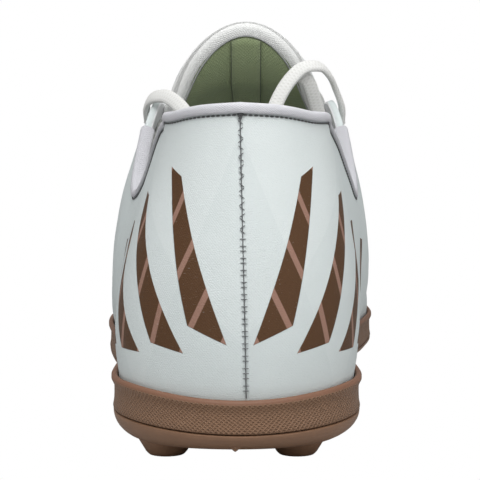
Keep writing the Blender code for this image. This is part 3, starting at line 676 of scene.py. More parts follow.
def make_braid_group():
    """Diagonal ribs of a braided lace: u runs along it and v round it."""
    tree, given, made = group("lace_braid", [("Map", ARROW), ("Pitch", NUMBER)], [("Height", NUMBER)])
    parts = wire(tree, "ShaderNodeSeparateXYZ", {0: given["Map"]}).outputs
    turn = times(tree, ratio(tree, parts[0], given["Pitch"]), 2 * math.pi)
    round_turn = times(tree, parts[1], 6 * math.pi)
    one = sums(tree, "SINE", plus(tree, turn, round_turn))
    other = sums(tree, "SINE", less(tree, turn, round_turn))
    tree.links.new(sums(tree, "MAXIMUM", one, other), made["Height"])
    return tree


def make_blade_group():
    """A printed blade: a tapered slanted bar with slanted ends, and thin bands across it."""
    tree, given, made = group(
        "printed_blade",
        [(label, NUMBER) for label in (
            "Out", "Height", "Start Out", "Start Height", "Angle", "Length", "Width", "Taper", "End Slant",
            "Band Pitch")],
        [("Blade", NUMBER), ("Bands", NUMBER)],
    )
    x = less(tree, given["Out"], given["Start Out"])
    z = less(tree, given["Height"], given["Start Height"])
    cosine, sine = sums(tree, "COSINE", given["Angle"]), sums(tree, "SINE", given["Angle"])
    run = plus(tree, times(tree, x, cosine), times(tree, z, sine))
    off = less(tree, times(tree, z, cosine), times(tree, x, sine))
    slanted = plus(tree, run, times(tree, off, given["End Slant"]))
    share = ratio(tree, slanted, given["Length"])
    narrowed = times(tree, share, times(tree, given["Taper"], 0.5))
    half = times(tree, given["Width"], less(tree, 0.5, narrowed))
    edge = 0.00016
    inside = ratio(tree, less(tree, half, sums(tree, "ABSOLUTE", off)), edge, True)
    after = ratio(tree, slanted, edge, True)
    before = ratio(tree, less(tree, given["Length"], slanted), edge, True)
    blade = times(tree, inside, times(tree, after, before))
    crossing = plus(tree, run, times(tree, off, -0.9))
    turn = sums(tree, "FRACT", ratio(tree, crossing, given["Band Pitch"]))
    beat = sums(tree, "ABSOLUTE", less(tree, turn, 0.5))
    band = ratio(tree, less(tree, 0.095, beat), 0.02, True)
    tree.links.new(blade, made["Blade"])
    tree.links.new(times(tree, band, blade), made["Bands"])
    return tree


WEAVE, GRAIN, HATCH, BRAID, BLADE = (
    make_weave_group(), make_grain_group(), make_hatch_group(), make_braid_group(), make_blade_group()
)

# Printed blades on each quarter, mirrored about the heel's seam
BLADES = (
    # out, height, angle, length, width, taper, end slant, band pitch
    (0.0085, 0.0310, 70, 0.0400, 0.0085, 0.45, 0.9, 0.0125),
    (0.0200, 0.0275, 58, 0.0420, 0.0080, 0.45, 0.9, 0.0130),
    (0.0345, 0.0258, 48, 0.0400, 0.0075, 0.50, 0.9, 0.0125),
    (0.0515, 0.0252, 40, 0.0380, 0.0070, 0.50, 0.9, 0.0120),
)


def finish(name, colour, roughness, **sockets):
    """A material with its constant values on the shader's own sockets."""
    made = bpy.data.materials.new(name)
    made.use_nodes = True
    shader = made.node_tree.nodes["Principled BSDF"]
    shader.inputs["Base Color"].default_value = (*colour, 1.0)
    shader.inputs["Roughness"].default_value = roughness
    for key, value in sockets.items():
        shader.inputs[key.replace("_", " ")].default_value = value
    return made, made.node_tree, shader


def surface_map(tree):
    return wire(tree, "ShaderNodeUVMap", uv_map="surface").outputs[0]


def raise_by(tree, shader, height, distance, strength=1.0, under=None):
    bump = wire(tree, "ShaderNodeBump", {"Height": height, "Distance": distance, "Strength": strength})
    if under is not None:
        tree.links.new(under, bump.inputs["Normal"])
    tree.links.new(bump.outputs[0], shader.inputs["Normal"])
    return bump.outputs[0]


def make_skin_finish():
    """Pale coated cloth with tonal facets, printed blades, a darker crease at the heel's seam, and painted
    shade along its foot just above the rim.
    """
    made, tree, shader = finish("upper_skin", (0.80, 0.86, 0.85), 0.58, Specular_IOR_Level=0.35)
    chart = surface_map(tree)
    parts = wire(tree, "ShaderNodeSeparateXYZ", {0: chart}).outputs
    out, height = sums(tree, "ABSOLUTE", parts[0]), parts[1]
    grain = use(tree, GRAIN, Map=chart, Scale=900.0, Stretch=4.5)
    weave = use(tree, WEAVE, Map=chart, Pitch=0.00075)
    pale = blend_colour(tree, grain["Broad"], (0.76, 0.82, 0.815, 1), (0.83, 0.88, 0.875, 1))
    pale = blend_colour(tree, times(tree, grain["Fine"], 0.34), pale, (0.60, 0.67, 0.665, 1))
    for lean, place in ((1.7, 0.098), (-2.1, -0.018), (0.9, 0.030)):
        side = less(tree, times(tree, out, lean), less(tree, height, -place + 0.06))
        facet = ratio(tree, side, 0.0004, True)
        pale = blend_colour(tree, times(tree, facet, 0.20), pale, (0.62, 0.69, 0.69, 1))
    blades, bands = 0.0, 0.0
    for x, z, angle, length, width, taper, slant, pitch in BLADES:
        one = use(tree, BLADE, **{
            "Out": out, "Height": height, "Start Out": x, "Start Height": z, "Angle": math.radians(angle),
            "Length": length, "Width": width, "Taper": taper, "End Slant": slant, "Band Pitch": pitch})
        blades = sums(tree, "MAXIMUM", one["Blade"], blades)
        bands = sums(tree, "MAXIMUM", one["Bands"], bands)
    worn = less(tree, 1.0, times(tree, sums(tree, "GREATER_THAN", grain["Fine"], 0.66), 0.25))
    brown = blend_colour(tree, grain["Fine"], (0.070, 0.028, 0.008, 1), (0.130, 0.060, 0.022, 1))
    tan = blend_colour(tree, grain["Fine"], (0.29, 0.15, 0.105, 1), (0.42, 0.25, 0.19, 1))
    ink = blend_colour(tree, bands, brown, tan)
    colour = blend_colour(tree, times(tree, blades, worn), pale, ink)
    # Painted shade: the few millimetres of the upper just above the rim are darkened towards grey, a painted
    # soft shadow along the rim.
    foot = ratio(tree, less(tree, 0.0195, height), 0.004, True)
    colour = blend_colour(tree, times(tree, foot, 0.35), colour, (0.40, 0.42, 0.41, 1))
    tree.links.new(colour, shader.inputs["Base Color"])
    rough = less(tree, sums(tree, "MULTIPLY_ADD", grain["Fine"], 0.3), times(tree, blades, 0.10))
    rough.node.inputs[0].links[0].from_node.inputs[2].default_value = 0.48
    tree.links.new(rough, shader.inputs["Roughness"])
    threads = raise_by(tree, shader, weave["Height"], 0.00003)
    relief = plus(tree, grain["Fine"], times(tree, blades, 0.9))
    raise_by(tree, shader, relief, 0.00014, 1.0, threads)
    return made


def make_cloth_finish(name, low, high, roughness, pitch, scale=700.0, sheen=0.2):
    """Plain woven cloth: two tones, threads and a soft nap."""
    made, tree, shader = finish(name, high, roughness, Sheen_Weight=sheen, Sheen_Roughness=0.6)
    chart = surface_map(tree)
    grain = use(tree, GRAIN, Map=chart, Scale=scale, Stretch=1.5)
    weave = use(tree, WEAVE, Map=chart, Pitch=pitch)
    share = times(tree, plus(tree, grain["Fine"], grain["Broad"]), 0.5)
    colour = blend_colour(tree, share, (*low, 1), (*high, 1))
    colour = blend_colour(tree, times(tree, weave["Height"], 0.12, True), colour, (*low, 1))
    tree.links.new(colour, shader.inputs["Base Color"])
    raise_by(tree, shader, plus(tree, weave["Height"], grain["Fine"]), 0.00012)
    return made


def make_rubber_finish(name, low, high, roughness, hatched):
    """Gum rubber with soft mottling, and a pressed hatch on the foxing."""
    made, tree, shader = finish(name, high, roughness, Specular_IOR_Level=0.42)
    chart = surface_map(tree)
    spots = wire(tree, "ShaderNodeTexCoord").outputs["Object"]
    grain = use(tree, GRAIN, Map=spots, Scale=520.0, Stretch=1.0)
    share = times(tree, plus(tree, grain["Fine"], grain["Broad"]), 0.5)
    colour = blend_colour(tree, share, (*low, 1), (*high, 1))
    height = grain["Fine"]
    if hatched:
        hatch = use(tree, HATCH, Map=chart, Pitch=0.0026)
        below = times(tree, wire(tree, "ShaderNodeSeparateXYZ", {0: chart}).outputs[1], -1.0)
        field = ratio(tree, less(tree, below, 0.0009), 0.0002, True)
        ridges = times(tree, hatch["Height"], field)
        strip = blend_colour(tree, field, (0.235, 0.115, 0.068, 1), colour)
        colour = blend_colour(tree, times(tree, ridges, 0.45), strip, (0.40, 0.245, 0.155, 1))
        height = plus(tree, times(tree, ridges, 2.2), grain["Fine"])
    tree.links.new(colour, shader.inputs["Base Color"])
    rough = sums(tree, "MULTIPLY_ADD", grain["Fine"], 0.25)
    rough.node.inputs[2].default_value = roughness - 0.12
    tree.links.new(rough, shader.inputs["Roughness"])
    raise_by(tree, shader, height, 0.00012)
    return made


def make_lace_finish():
    made, tree, shader = finish("lace_cotton", (0.86, 0.86, 0.86), 0.8, Sheen_Weight=0.3, Sheen_Roughness=0.5)
    chart = surface_map(tree)
    braid = use(tree, BRAID, Map=chart, Pitch=0.0010)
    levels = {"Value": braid["Height"], "From Min": -0.6, "From Max": 0.9}
    share = wire(tree, "ShaderNodeMapRange", levels).outputs[0]
    colour = blend_colour(tree, share, (0.74, 0.74, 0.71, 1), (0.82, 0.82, 0.80, 1))
    tree.links.new(colour, shader.inputs["Base Color"])
    raise_by(tree, shader, braid["Height"], 0.00004)
    return made


def make_thread_finish(name, colour):
    made, tree, shader = finish(name, colour, 0.7, Sheen_Weight=0.2)
    spots = wire(tree, "ShaderNodeTexCoord").outputs["Object"]
    fine = {"Vector": spots, "Scale": 3000.0, "Detail": 2.0}
    strands = wire(tree, "ShaderNodeTexNoise", fine).outputs["Fac"]
    low = tuple(c * 0.6 for c in colour)
    tree.links.new(blend_colour(tree, strands, (*low, 1), (*colour, 1)), shader.inputs["Base Color"])
    raise_by(tree, shader, strands, 0.0001)
    return made


SKIN = make_skin_finish()
LINING = make_cloth_finish("white_lining", (0.78, 0.79, 0.80), (0.90, 0.905, 0.92), 0.85, 0.0009)
TAPE = make_cloth_finish("binding_tape", (0.57, 0.57, 0.60), (0.69, 0.69, 0.735), 0.75, 0.0007)
TONGUE_CLOTH = make_cloth_finish("tongue_cloth", (0.74, 0.79, 0.78), (0.84, 0.88, 0.87), 0.75, 0.0008)
TONGUE_LINING = make_cloth_finish("tongue_lining", (0.17, 0.215, 0.10), (0.29, 0.35, 0.19), 0.9, 0.0010)
TONGUE_EDGE = make_cloth_finish("tongue_binding", (0.86, 0.87, 0.855), (0.93, 0.935, 0.92), 0.8, 0.0007)
SOCK = make_cloth_finish("insole_cloth", (0.46, 0.50, 0.45), (0.64, 0.68, 0.62), 0.9, 0.0011)
FOXING = make_rubber_finish("gum_foxing", (0.160, 0.080, 0.041), (0.285, 0.150, 0.082), 0.55, True)
GUM = make_rubber_finish("gum_rubber", (0.190, 0.103, 0.058), (0.340, 0.190, 0.112), 0.50, False)
LACE = make_lace_finish()
DARK_THREAD = make_thread_finish("dark_thread", (0.085, 0.088, 0.092))
SEAM_THREAD = make_thread_finish("seam_thread", (0.19, 0.20, 0.205))
GREY_THREAD = make_thread_finish("grey_thread", (0.42, 0.43, 0.43))
GREEN_THREAD = make_thread_finish("green_thread", (0.085, 0.108, 0.055))
PALE_THREAD = make_thread_finish("pale_thread", (0.66, 0.70, 0.70))
FILM = finish("lace_tip_film", (0.86, 0.87, 0.88), 0.22, Coat_Weight=0.6)[0]
WELD = make_cloth_finish("welded_film", (0.72, 0.78, 0.775), (0.80, 0.855, 0.85), 0.42, 0.0006, 1200.0, 0.05)


# The upper
CREASES = (
    # y at the crown, sweep back at the side, depth, width
    (0.1745, 0.010, 0.00045, 0.0022),
    (0.1830, 0.013, 0.00060, 0.0026),
    (0.1925, 0.012, 0.00042, 0.0024),
    (0.2010, 0.010, 0.00025, 0.0022),
)


def relief(station, side, t, spot):
    """How far the cloth stands off its plain form: the seam's groove, creases and a soft unevenness."""
    off = noise.noise(spot * 55) * 0.00022 + noise.noise(spot * 140) * 0.00008
    off *= min(t * 6, 1.0) * min((1 - t) * 8, 1.0)
    if station < 0.12:
        arc = abs(arc_from_seam(station, side) - seam_drift(t))
        off -= 0.00045 * math.exp(-((arc / 0.0011) ** 2))
    if t > 0.25 and station > 1.6:
        for y, sweep_back, depth, width in CREASES:
            line = y - sweep_back * (abs(spot.x) / 0.035) ** 2
            fade = math.exp(-((max(abs(spot.x) - 0.024, 0) / 0.010) ** 2)) * min((t - 0.25) * 4, 1.0)
            off -= depth * fade * math.exp(-(((spot.y - line) / width) ** 2))
    return off


def seam_drift(t):
    """The seam leans a little towards the medial side on its way down."""
    return 0.0016 * (1 - t)


def make_upper():
    loop = station_loop()
    shares = [k / WALL_STEPS for k in range(WALL_STEPS + 1)]
    outer = []
    for station, side in loop:
        foot = upper_radius(station, side)
        bed = level_at(station, side, foot, BED_HEIGHT) + GAP
        line = [at_ray(station, side, foot, bed)]
        line += [skin(station, side, t) for t in shares]
        outer.append(line)
    normals = grid_normals(outer, True)
    lines, heights = [], []
    for (station, side), line, outs in zip(loop, outer, normals):
        face = [line[0]]
        face += [p + n * relief(station, side, t, p) for t, p, n in zip(shares, line[1:], outs[1:])]
        inner = [p - n * WALL for p, n in zip(line, outs)]
        inner[0].z = line[0].z
        up = (line[-1] - line[-2]).normalized()
        crown = [line[-1].lerp(inner[-1], share) + up * 0.0005 for share in (0.2, 0.5, 0.8)]
        lines.append(face + crown + inner[::-1])
        heights.append([p.z for p in lines[-1]])
    arcs = [arc_from_seam(s, side) for s, side in loop]
    upper = loft("upper_cloth", lines, [SKIN, LINING], wrap_lines=True, around=arcs, along=heights,
                 inner_from=len(outer[0]) + 2)
    cut_eyelets(upper)
    return put(upper, "upper")


def cut_eyelets(upper):
    """Punches the eyelets through the upper."""
    punches = []
    for k in range(EYELET_PAIRS):
        for side in (LATERAL, MEDIAL):
            y, across = eyelet_place(k, side)
            out = skin_normal(y, across)
            bpy.ops.mesh.primitive_cylinder_add(
                vertices=24, radius=EYELET_RADIUS, depth=WALL * 4,
                location=over_instep(y, across, -WALL / 2) + PLACE,
                rotation=out.to_track_quat("Z", "Y").to_euler())
            punches.append(bpy.context.active_object)
    bpy.ops.object.select_all(action="DESELECT")
    for punch in punches:
        punch.select_set(True)
    bpy.context.view_layer.objects.active = punches[0]
    bpy.ops.object.join()
    finish_with(upper, "BOOLEAN", operation="DIFFERENCE", object=punches[0], solver="EXACT")
    bpy.data.objects.remove(punches[0], do_unlink=True)
    pick(upper)
    bpy.ops.object.shade_smooth_by_angle(angle=math.radians(40))


def make_eyelet_rings():
    """A thin welded ring round each eyelet."""
    margin, girth = 0.0006, 0.0005
    bpy.ops.mesh.primitive_torus_add(major_segments=24, minor_segments=8, major_radius=EYELET_RADIUS + margin,
                                     minor_radius=girth)
    ring = bpy.context.active_object
    ring.scale = (1, 1, 0.5)
    settle(ring)
    places = []
    for k in range(EYELET_PAIRS):
        for side in (LATERAL, MEDIAL):
            y, across = eyelet_place(k, side)
            out = skin_normal(y, across)
            facing = out.to_track_quat("Z", "Y").to_matrix().to_4x4()
            places.append(Matrix.Translation(over_instep(y, across, 0.00035)) @ facing)
    return copies("eyelet_rings", ring, places, PALE_THREAD)


def make_eyestays():
    """A welded film along each side of the throat, with a row of stitches at its outer edge."""
    first, last = FIRST_EYELET * LENGTH - 0.0040, LAST_EYELET * LENGTH + 0.0080
    steps, columns, inset, top_width, narrowing = 60, 10, 0.0012, 0.0125, 0.0035
    for side, label in SIDES:
        lines, spots, outs = [], [], []
        for k in range(steps + 1):
            y = between(first, last, k / steps)
            edge = edge_across(y, side)
            width = top_width - narrowing * k / steps
            lines.append([over_instep(y, edge + side * (inset + width * c / columns), 0.00022)
                          for c in range(columns + 1)])
            spots.append(over_instep(y, edge + side * (inset + width - 0.0011), 0.0004))
            outs.append(skin_normal(y, edge + side * width))
        film = loft(f"eyestay_{label}", lines, [WELD], wrap_points=False,
                    around=[k * 0.001 for k in range(steps + 1)],
                    along=[[c * 0.0012 for c in range(columns + 1)]] * (steps + 1))
        if film.data.polygons[0].normal.z < 0:
            film.data.flip_normals()
        finish_with(film, "SOLIDIFY", thickness=0.00030, offset=1.0)
        put(film)
        stitch_row(f"eyestay_stitches_{label}", spots, outs, 0.0026, 0.0020, 0.00042, PALE_THREAD)


def collar_line(depth, lift, steps=70):
    """Points below the collar's edge by a depth along the skin, from the medial front to the lateral."""
    front = 1 + (BINDING_END - HEEL_CENTRE) / (THROAT_FRONT - HEEL_CENTRE)
    stations = [(front * (1 - k / steps), MEDIAL) for k in range(steps)]
    stations += [(front * k / steps, LATERAL) for k in range(steps + 1)]
    spots, outs = [], []
    for station, side in stations:
        controls = section_controls(station, side)
        t = 1 - depth / (3 * (controls[3] - controls[2]).length)
        out = skin_out(station, side, t)
        spots.append(skin(station, side, t) + out * lift)
        outs.append(out)
    return spots, outs, stations


def make_binding():
    """The tape folded over the collar's edge."""
    profile = (
        # depth below the edge and distance out of the skin, in millimetres
        (1.5, 0.30), (1.5, 0.55), (1.35, 0.78), (1.0, 0.93), (0.5, 1.00), (0.0, 0.97), (-0.45, 0.78),
        (-0.8, 0.38), (-1.0, -0.40), (-1.0, -1.80), (-0.85, -2.50), (-0.5, -2.92), (0.0, -3.12), (0.5, -3.17),
        (1.0, -3.13), (1.35, -2.98), (1.5, -2.75), (1.5, -2.50), (-0.3, -2.50), (-0.3, 0.30),
    )
    _, _, stations = collar_line(0, 0)
    lines, arcs, reach, last = [], [], 0.0, None
    for station, side in stations:
        controls = section_controls(station, side)
        edge, out = skin(station, side, 1.0), skin_out(station, side, 1.0)
        full = 3 * (controls[3] - controls[2]).length
        up = (edge - skin(station, side, 0.97)).normalized()
        line = []
        for depth, lift in profile:
            depth, lift = depth / 1000, lift / 1000
            if depth > 0:
                t = 1 - depth / full
                line.append(skin(station, side, t) + skin_out(station, side, t) * lift)
            else:
                line.append(edge - up * depth + out * lift)
        lines.append(line)
        reach += (edge - last).length if last else 0.0
        last = edge
        arcs.append(reach)
    rounds = [[k * 0.0007 for k in range(len(profile))]] * len(lines)
    binding = loft("collar_tape", lines, [TAPE], caps=True, around=arcs, along=rounds, angle=60)
    put(binding, "collar_binding")
    spots, outs, _ = collar_line(0.0019, 0.00012, 160)
    stitch_row("collar_stitches", spots, outs, 0.0013, 0.0012, 0.00042, DARK_THREAD)


def make_heel_seam():
    """The closing seam up the heel: a sunk dark thread, ladder stitches, and an open notch at its top."""
    spots, outs, places = [], [], []
    steps = 120

    def seam_spot(t, aside=0.0, lift=0.0):
        arc = seam_drift(t) + aside
        station = abs(arc) / (HEEL_ARC * math.pi / 2)
        side = MEDIAL if arc >= 0 else LATERAL
        out = skin_out(station, side, t)
        return skin(station, side, t) + out * (lift - 0.00035), out

    for k in range(steps + 1):
        spot, out = seam_spot(between(0.005, 0.985, k / steps), 0.0, 0.00010)
        spots.append(spot)
        outs.append(out)
    put(sweep("heel_seam_thread", spots, outs, 0.00030, 0.00024, SEAM_THREAD, sides=8, squareness=1.0))
    reach, pitch = 0.0, 0.0014
    for k in range(1, steps + 1):
        reach += (spots[k] - spots[k - 1]).length
        if reach < pitch:
            continue
        reach -= pitch
        share = k / steps
        across = Vector((1, 0, 0))
        lean = (spots[k] - spots[k - 1]).normalized() * (0.75 if share > 0.55 else 0.0)
        lean *= 1 if len(places) % 2 else -1
        places.append(turned(spots[k] + outs[k] * 0.00022, across + lean, outs[k]))
    copies("heel_ladder_stitches", stitch_template(0.0016, 0.00026), places, SEAM_THREAD)
    notch_steps, notch_reach = 8, 0.0016
    for label, sign in (("left", -1), ("right", 1)):
        line, ways = [], []
        for k in range(notch_steps + 1):
            t = between(0.955, 0.995, k / notch_steps)
            spot, out = seam_spot(t, sign * notch_reach * (k / notch_steps) ** 1.3, 0.0005)
            line.append(spot)
            ways.append(out)
        put(sweep(f"heel_notch_{label}", line, ways, 0.0005, 0.0004, DARK_THREAD, sides=8, squareness=1.0))


def make_toe_guard():
    """A welded guard round the toe, with a row of stitches at its edge."""
    lines, spots, outs = [], [], []
    begin, span, foot, steps, columns = 2.42, 0.58, 0.004, 40, 12
    stations = [begin + span * k / steps for k in range(steps + 1)]
    order = [(s, LATERAL) for s in stations] + [(s, MEDIAL) for s in reversed(stations[:-1])]
    for station, side in order:
        top = 0.05 + 0.42 * math.sin((station - begin) / span * math.pi / 2) ** 0.8
        levels = [foot + (top - foot) * c / columns for c in range(columns + 1)]
        line = [skin(station, side, t) for t in levels]
        ways = [skin_out(station, side, t) for t in levels]
        lines.append([p + n * 0.00035 for p, n in zip(line, ways)])
        if station > 2.46:
            spots.append(skin(station, side, top - 0.030) + ways[-1] * 0.00085)
            outs.append(ways[-1])
    guard = loft("toe_guard", lines, [WELD], wrap_points=False, around=[k * 0.001 for k in range(len(lines))])
    pointing = sum(p.normal.z * p.area for p in guard.data.polygons)
    if pointing < 0:
        guard.data.flip_normals()
    finish_with(guard, "SOLIDIFY", thickness=0.00045, offset=1.0)
    put(guard)
    stitch_row("toe_guard_stitches", spots, outs, 0.0026, 0.0020, 0.00045, PALE_THREAD)


# The tongue
def tongue_rows(columns, steps, rises):
    top_y, front_y, end_y = FIRST_EYELET * LENGTH, THROAT_FRONT * LENGTH, TONGUE_END * LENGTH
    rows = []
    for k in range(6):
        y = between(end_y, front_y, k / 6)
        half = TONGUE_BASE_WIDTH / 2
        xs = [between(-half, half, c / columns) for c in range(columns + 1)]
        rows.append([Vector((x, y, vamp_height(x, y))) for x in xs])
    for k in range(steps + 1):
        y = between(front_y, top_y, k / steps)
        half = between(TONGUE_BASE_WIDTH, TONGUE_TOP_WIDTH, k / steps) / 2
        rows.append([skin_point(y, between(-half, half, c / columns)) for c in range(columns + 1)])
    normals = grid_normals(rows, False)
    if normals[0][columns // 2].z < 0:
        normals = [[-n for n in line] for line in normals]
    last, last_normals = rows[-1], normals[-1]
    for k in range(1, rises + 1):
        share = k / rises
        line, outs = [], []
        for c, (p, n) in enumerate(zip(last, last_normals)):
            crown = 1 - TONGUE_CORNER * abs(2 * c / columns - 1) ** 1.6
            back = TONGUE_LEAN * (1 - (1 - share) ** 2)
            line.append(p + Vector((0, -back * crown, TONGUE_RISE * share * crown)))
            outs.append((n + Vector((0, 0.5, -0.5)) * share * crown).normalized())
        rows.append(line)
        normals.append(outs)
    return rows, normals


def softened(path):
    """The line of points with its unevenness taken out. The ends stay."""
    for _ in range(6):
        path = [path[0]] + [(a + b * 2 + c) / 4 for a, b, c in zip(path, path[1:], path[2:])] + [path[-1]]
    return path


def make_tongue():
    """The padded tongue with a green lining, a raised strip down its middle and a white bound edge."""
    columns, steps, rises = 26, 30, 10
    rows, normals = tongue_rows(columns, steps, rises)
    under = WALL + TONGUE_GAP
    outer, inner = shifted(rows, normals, -under), shifted(rows, normals, -under - TONGUE_THICKNESS)
    middle = shifted(rows, normals, -under - TONGUE_THICKNESS / 2)
    lines = [[mid[0]] + over + [mid[-1]] + beneath[::-1] for over, mid, beneath in zip(outer, middle, inner)]
    reach = [0.0]
    for a, b in zip(rows, rows[1:]):
        reach.append(reach[-1] + (b[columns // 2] - a[columns // 2]).length)
    rounds = [[k * 0.0022 for k in range(len(lines[0]))]] * len(lines)
    tongue = loft("tongue_pad", lines, [TONGUE_CLOTH, TONGUE_LINING], caps=True, around=reach, along=rounds,
                  inner_from=columns + 3, angle=70)
    put(tongue, "tongue")
    start = 12
    top = len(rows) - 1
    border = [(i, 0, 2) for i in range(start, top)]
    border += [(top, c, c) for c in range(columns + 1)]
    border += [(i, columns, columns - 2) for i in range(top - 1, start - 1, -1)]

    def edge_path(grid, reach_in, lift):
        """Points inside the tongue's edge by a reach, lifted off the grid towards the foot."""
        path = []
        for i, c, towards in border:
            inside = grid[i][towards]
            if towards == c:
                inside = grid[i - 3][c].lerp(grid[i - 3][columns // 2], 0.12)
            step = (inside - grid[i][c]).normalized() * reach_in
            path.append(grid[i][c] + step - normals[i][c] * lift)
        return softened(path)

    facing = softened([normals[i][c] for i, c, _ in border])
    put(sweep("tongue_edge_binding", edge_path(middle, 0.0011, 0.0), facing, 0.0046,
              TONGUE_THICKNESS + 0.0010, TONGUE_EDGE, sides=16, squareness=0.7, girth=0.013))
    put(sweep("tongue_edge_cord", edge_path(inner, 0.0021, 0.00045), facing, 0.0005, 0.0004, GREY_THREAD,
              sides=8, squareness=1.0))
    centre, half = columns // 2, 2
    strip_rows = range(start + 2, top - 1)
    strip = [[inner[i][c] - normals[i][c] * 0.0004 for c in range(centre - half, centre + half + 1)]
             for i in strip_rows]
    panel = loft("tongue_lining_strip", strip, [TONGUE_LINING], wrap_points=False,
                 around=[k * 0.002 for k in range(len(strip))],
                 along=[[k * 0.0022 for k in range(2 * half + 1)]] * len(strip))
    if panel.data.polygons[-1].normal.y > 0:
        panel.data.flip_normals()
    finish_with(panel, "SOLIDIFY", thickness=0.0006, offset=0.0)
    put(panel)
    for label, c in (("left", centre - half), ("right", centre + half)):
        path = [inner[i][c] - normals[i][c] * 0.0005 for i in strip_rows]
        outs = [normals[i][c] for i in strip_rows]
        put(sweep(f"tongue_strip_edge_{label}", path, outs, 0.0006, 0.0004, GREEN_THREAD, sides=8,
                  squareness=1.0))


# The lacing
def lace_over(k, side, above):
    """A strand out of an eyelet of pair k + 1, over the tongue and under the other flap beside pair k."""
    (y1, a1), (y2, _) = eyelet_place(k + 1, side), eyelet_place(k, -side)
    edge = edge_across(between(y1, y2, 0.8), -side)
    reach = edge - a1
    middle = 0.0024 if above else 0.0006
    plan = (
        # share of the way to the other edge, lift
        (-0.010, -0.0030), (-0.004, -0.0008), (0.020, 0.0012), (0.080, 0.0020),
        (0.250, between(0.0018, middle, 0.5)), (0.500, middle), (0.750, between(0.0006, middle, 0.5)),
        (0.930, -0.0006), (1.020, -0.0022), (1.200, -0.0032),
    )
    route = []
    for share, lift in plan:
        across = a1 + reach * share
        y = between(y1, y2, min(max(share * 0.82, 0.0), 1.0))
        route.append(tuple(over_instep(y, across, lift)))
    return smooth_route(route, 0.0012)


def make_lacing():
    for k in range(EYELET_PAIRS - 1):
        for side, label in SIDES:
            above = (side == LATERAL) == (k % 2 == 0)
            path = lace_over(k, side, above)
            ways = []
            for spot in path:
                place = min(max(spot.y, 0.09), 0.165)
                ways.append(skin_normal(place, min(max(spot.x * 1.08, -0.03), 0.03)))
            strand = sweep(f"lace_{label}_{k + 1}", path, ways, LACE_WIDTH, LACE_THICKNESS, LACE)
            put(strand)
        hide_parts(f"lace_crossing_{k + 1}")
    y, _ = eyelet_place(EYELET_PAIRS - 1, LATERAL)
    ends = [eyelet_place(EYELET_PAIRS - 1, side)[1] for side in (LATERAL, MEDIAL)]
    plan = (
        # share of the way across, lift
        (0.0, -0.0034), (0.12, -0.0031), (0.25, -0.0024), (0.5, -0.0012), (0.75, -0.0024), (0.88, -0.0031),
        (1.0, -0.0034),
    )
    path = smooth_route([tuple(over_instep(y, between(*ends, share), lift)) for share, lift in plan], 0.0012)
    outs = [skin_normal(y, p.x) for p in path]
    bar = sweep("lace_front_bar", path, outs, LACE_WIDTH, LACE_THICKNESS, LACE)
    put(bar, "lace_bar")


def make_lace_end(label, route, side):
    """A free lace end from the top eyelet over the collar and down into the shoe, with its tip."""
    fine = smooth_route(route, 0.0015)
    first_out = (Vector((side, 0, 0.3))).normalized()
    outs = carried(fine, first_out)
    y, across = eyelet_place(0, side)
    stub = [tuple(over_instep(y, across, lift)) for lift in (-0.0030, -0.0012, 0.0004)] + [route[0]]
    stub_path = smooth_route(stub, 0.0008)
    put(sweep(f"lace_stub_{label}", stub_path, carried(stub_path, first_out), LACE_END_DIAMETER,
              LACE_THICKNESS, LACE))
    band = sweep(f"lace_free_{label}", fine, outs, LACE_WIDTH, LACE_THICKNESS, LACE)
    put(band, f"lace_end_{label}")
    coarse = smooth_route(route, LACE_END_DIAMETER * 2.2)
    heading = (coarse[-1] - coarse[-2]).normalized()
    bpy.ops.mesh.primitive_cylinder_add(vertices=20, radius=LACE_THICKNESS / 2, depth=TIP_LENGTH)
    tip = bpy.context.active_object
    tip.name = f"lace_tip_film_{label}"
    tip.location = coarse[-1] + heading * (GAP + TIP_LENGTH / 2) + PLACE
    tip.rotation_euler = heading.to_track_quat("Z", "Y").to_euler()
    settle(tip)
    finish_with(tip, "BEVEL", width=0.0003, segments=3)
    tip.data.materials.append(FILM)
    put(tip, f"lace_tip_{label}")


def make_inner_strand():
    """The strand that tucks in between the tongue and the medial flap, behind the free end."""
    path = smooth_route(INNER_STRAND_ROUTE, 0.0012)
    put(sweep("lace_inner_strand", path, carried(path, Vector((-0.3, -1.0, 0.2)).normalized()), LACE_WIDTH,
              LACE_THICKNESS, LACE))


# The sole
def turned_solid(name, profile, materials, replaced, angle=50):
    """A solid turned along all rays. Its map has the way round in u and the way below its top edge in v."""
    loop = station_loop()
    lines = [[at_ray(s, side, a, h) for a, h in profile(s, side)] for s, side in loop]
    arcs = [arc_from_seam(s, side) for s, side in loop]
    depths = [[p.z - max(q.z for q in line) for p in line] for line in lines]
    solid = loft(name, lines, materials, wrap_lines=True, wrap_points=False, around=arcs, along=depths,
                 angle=angle)
    work = bmesh.new()
    work.from_mesh(solid.data)
    if work.calc_volume(signed=True) < 0:
        bmesh.ops.reverse_faces(work, faces=work.faces)
        work.to_mesh(solid.data)
    work.free()
    return put(solid, replaced)


def insole_radius(station, side):
    return upper_radius(station, side) - WALL - INSOLE_EDGE_GAP


def parting(station, side, along):
    """The height of the line between foxing and outsole, which dips under the heel's seam."""
    dip = (1 - min(station / 0.8, 1.0) ** 2) ** 2
    return level_at(station, side, along, PARTING_HEIGHT - PARTING_DIP * dip)


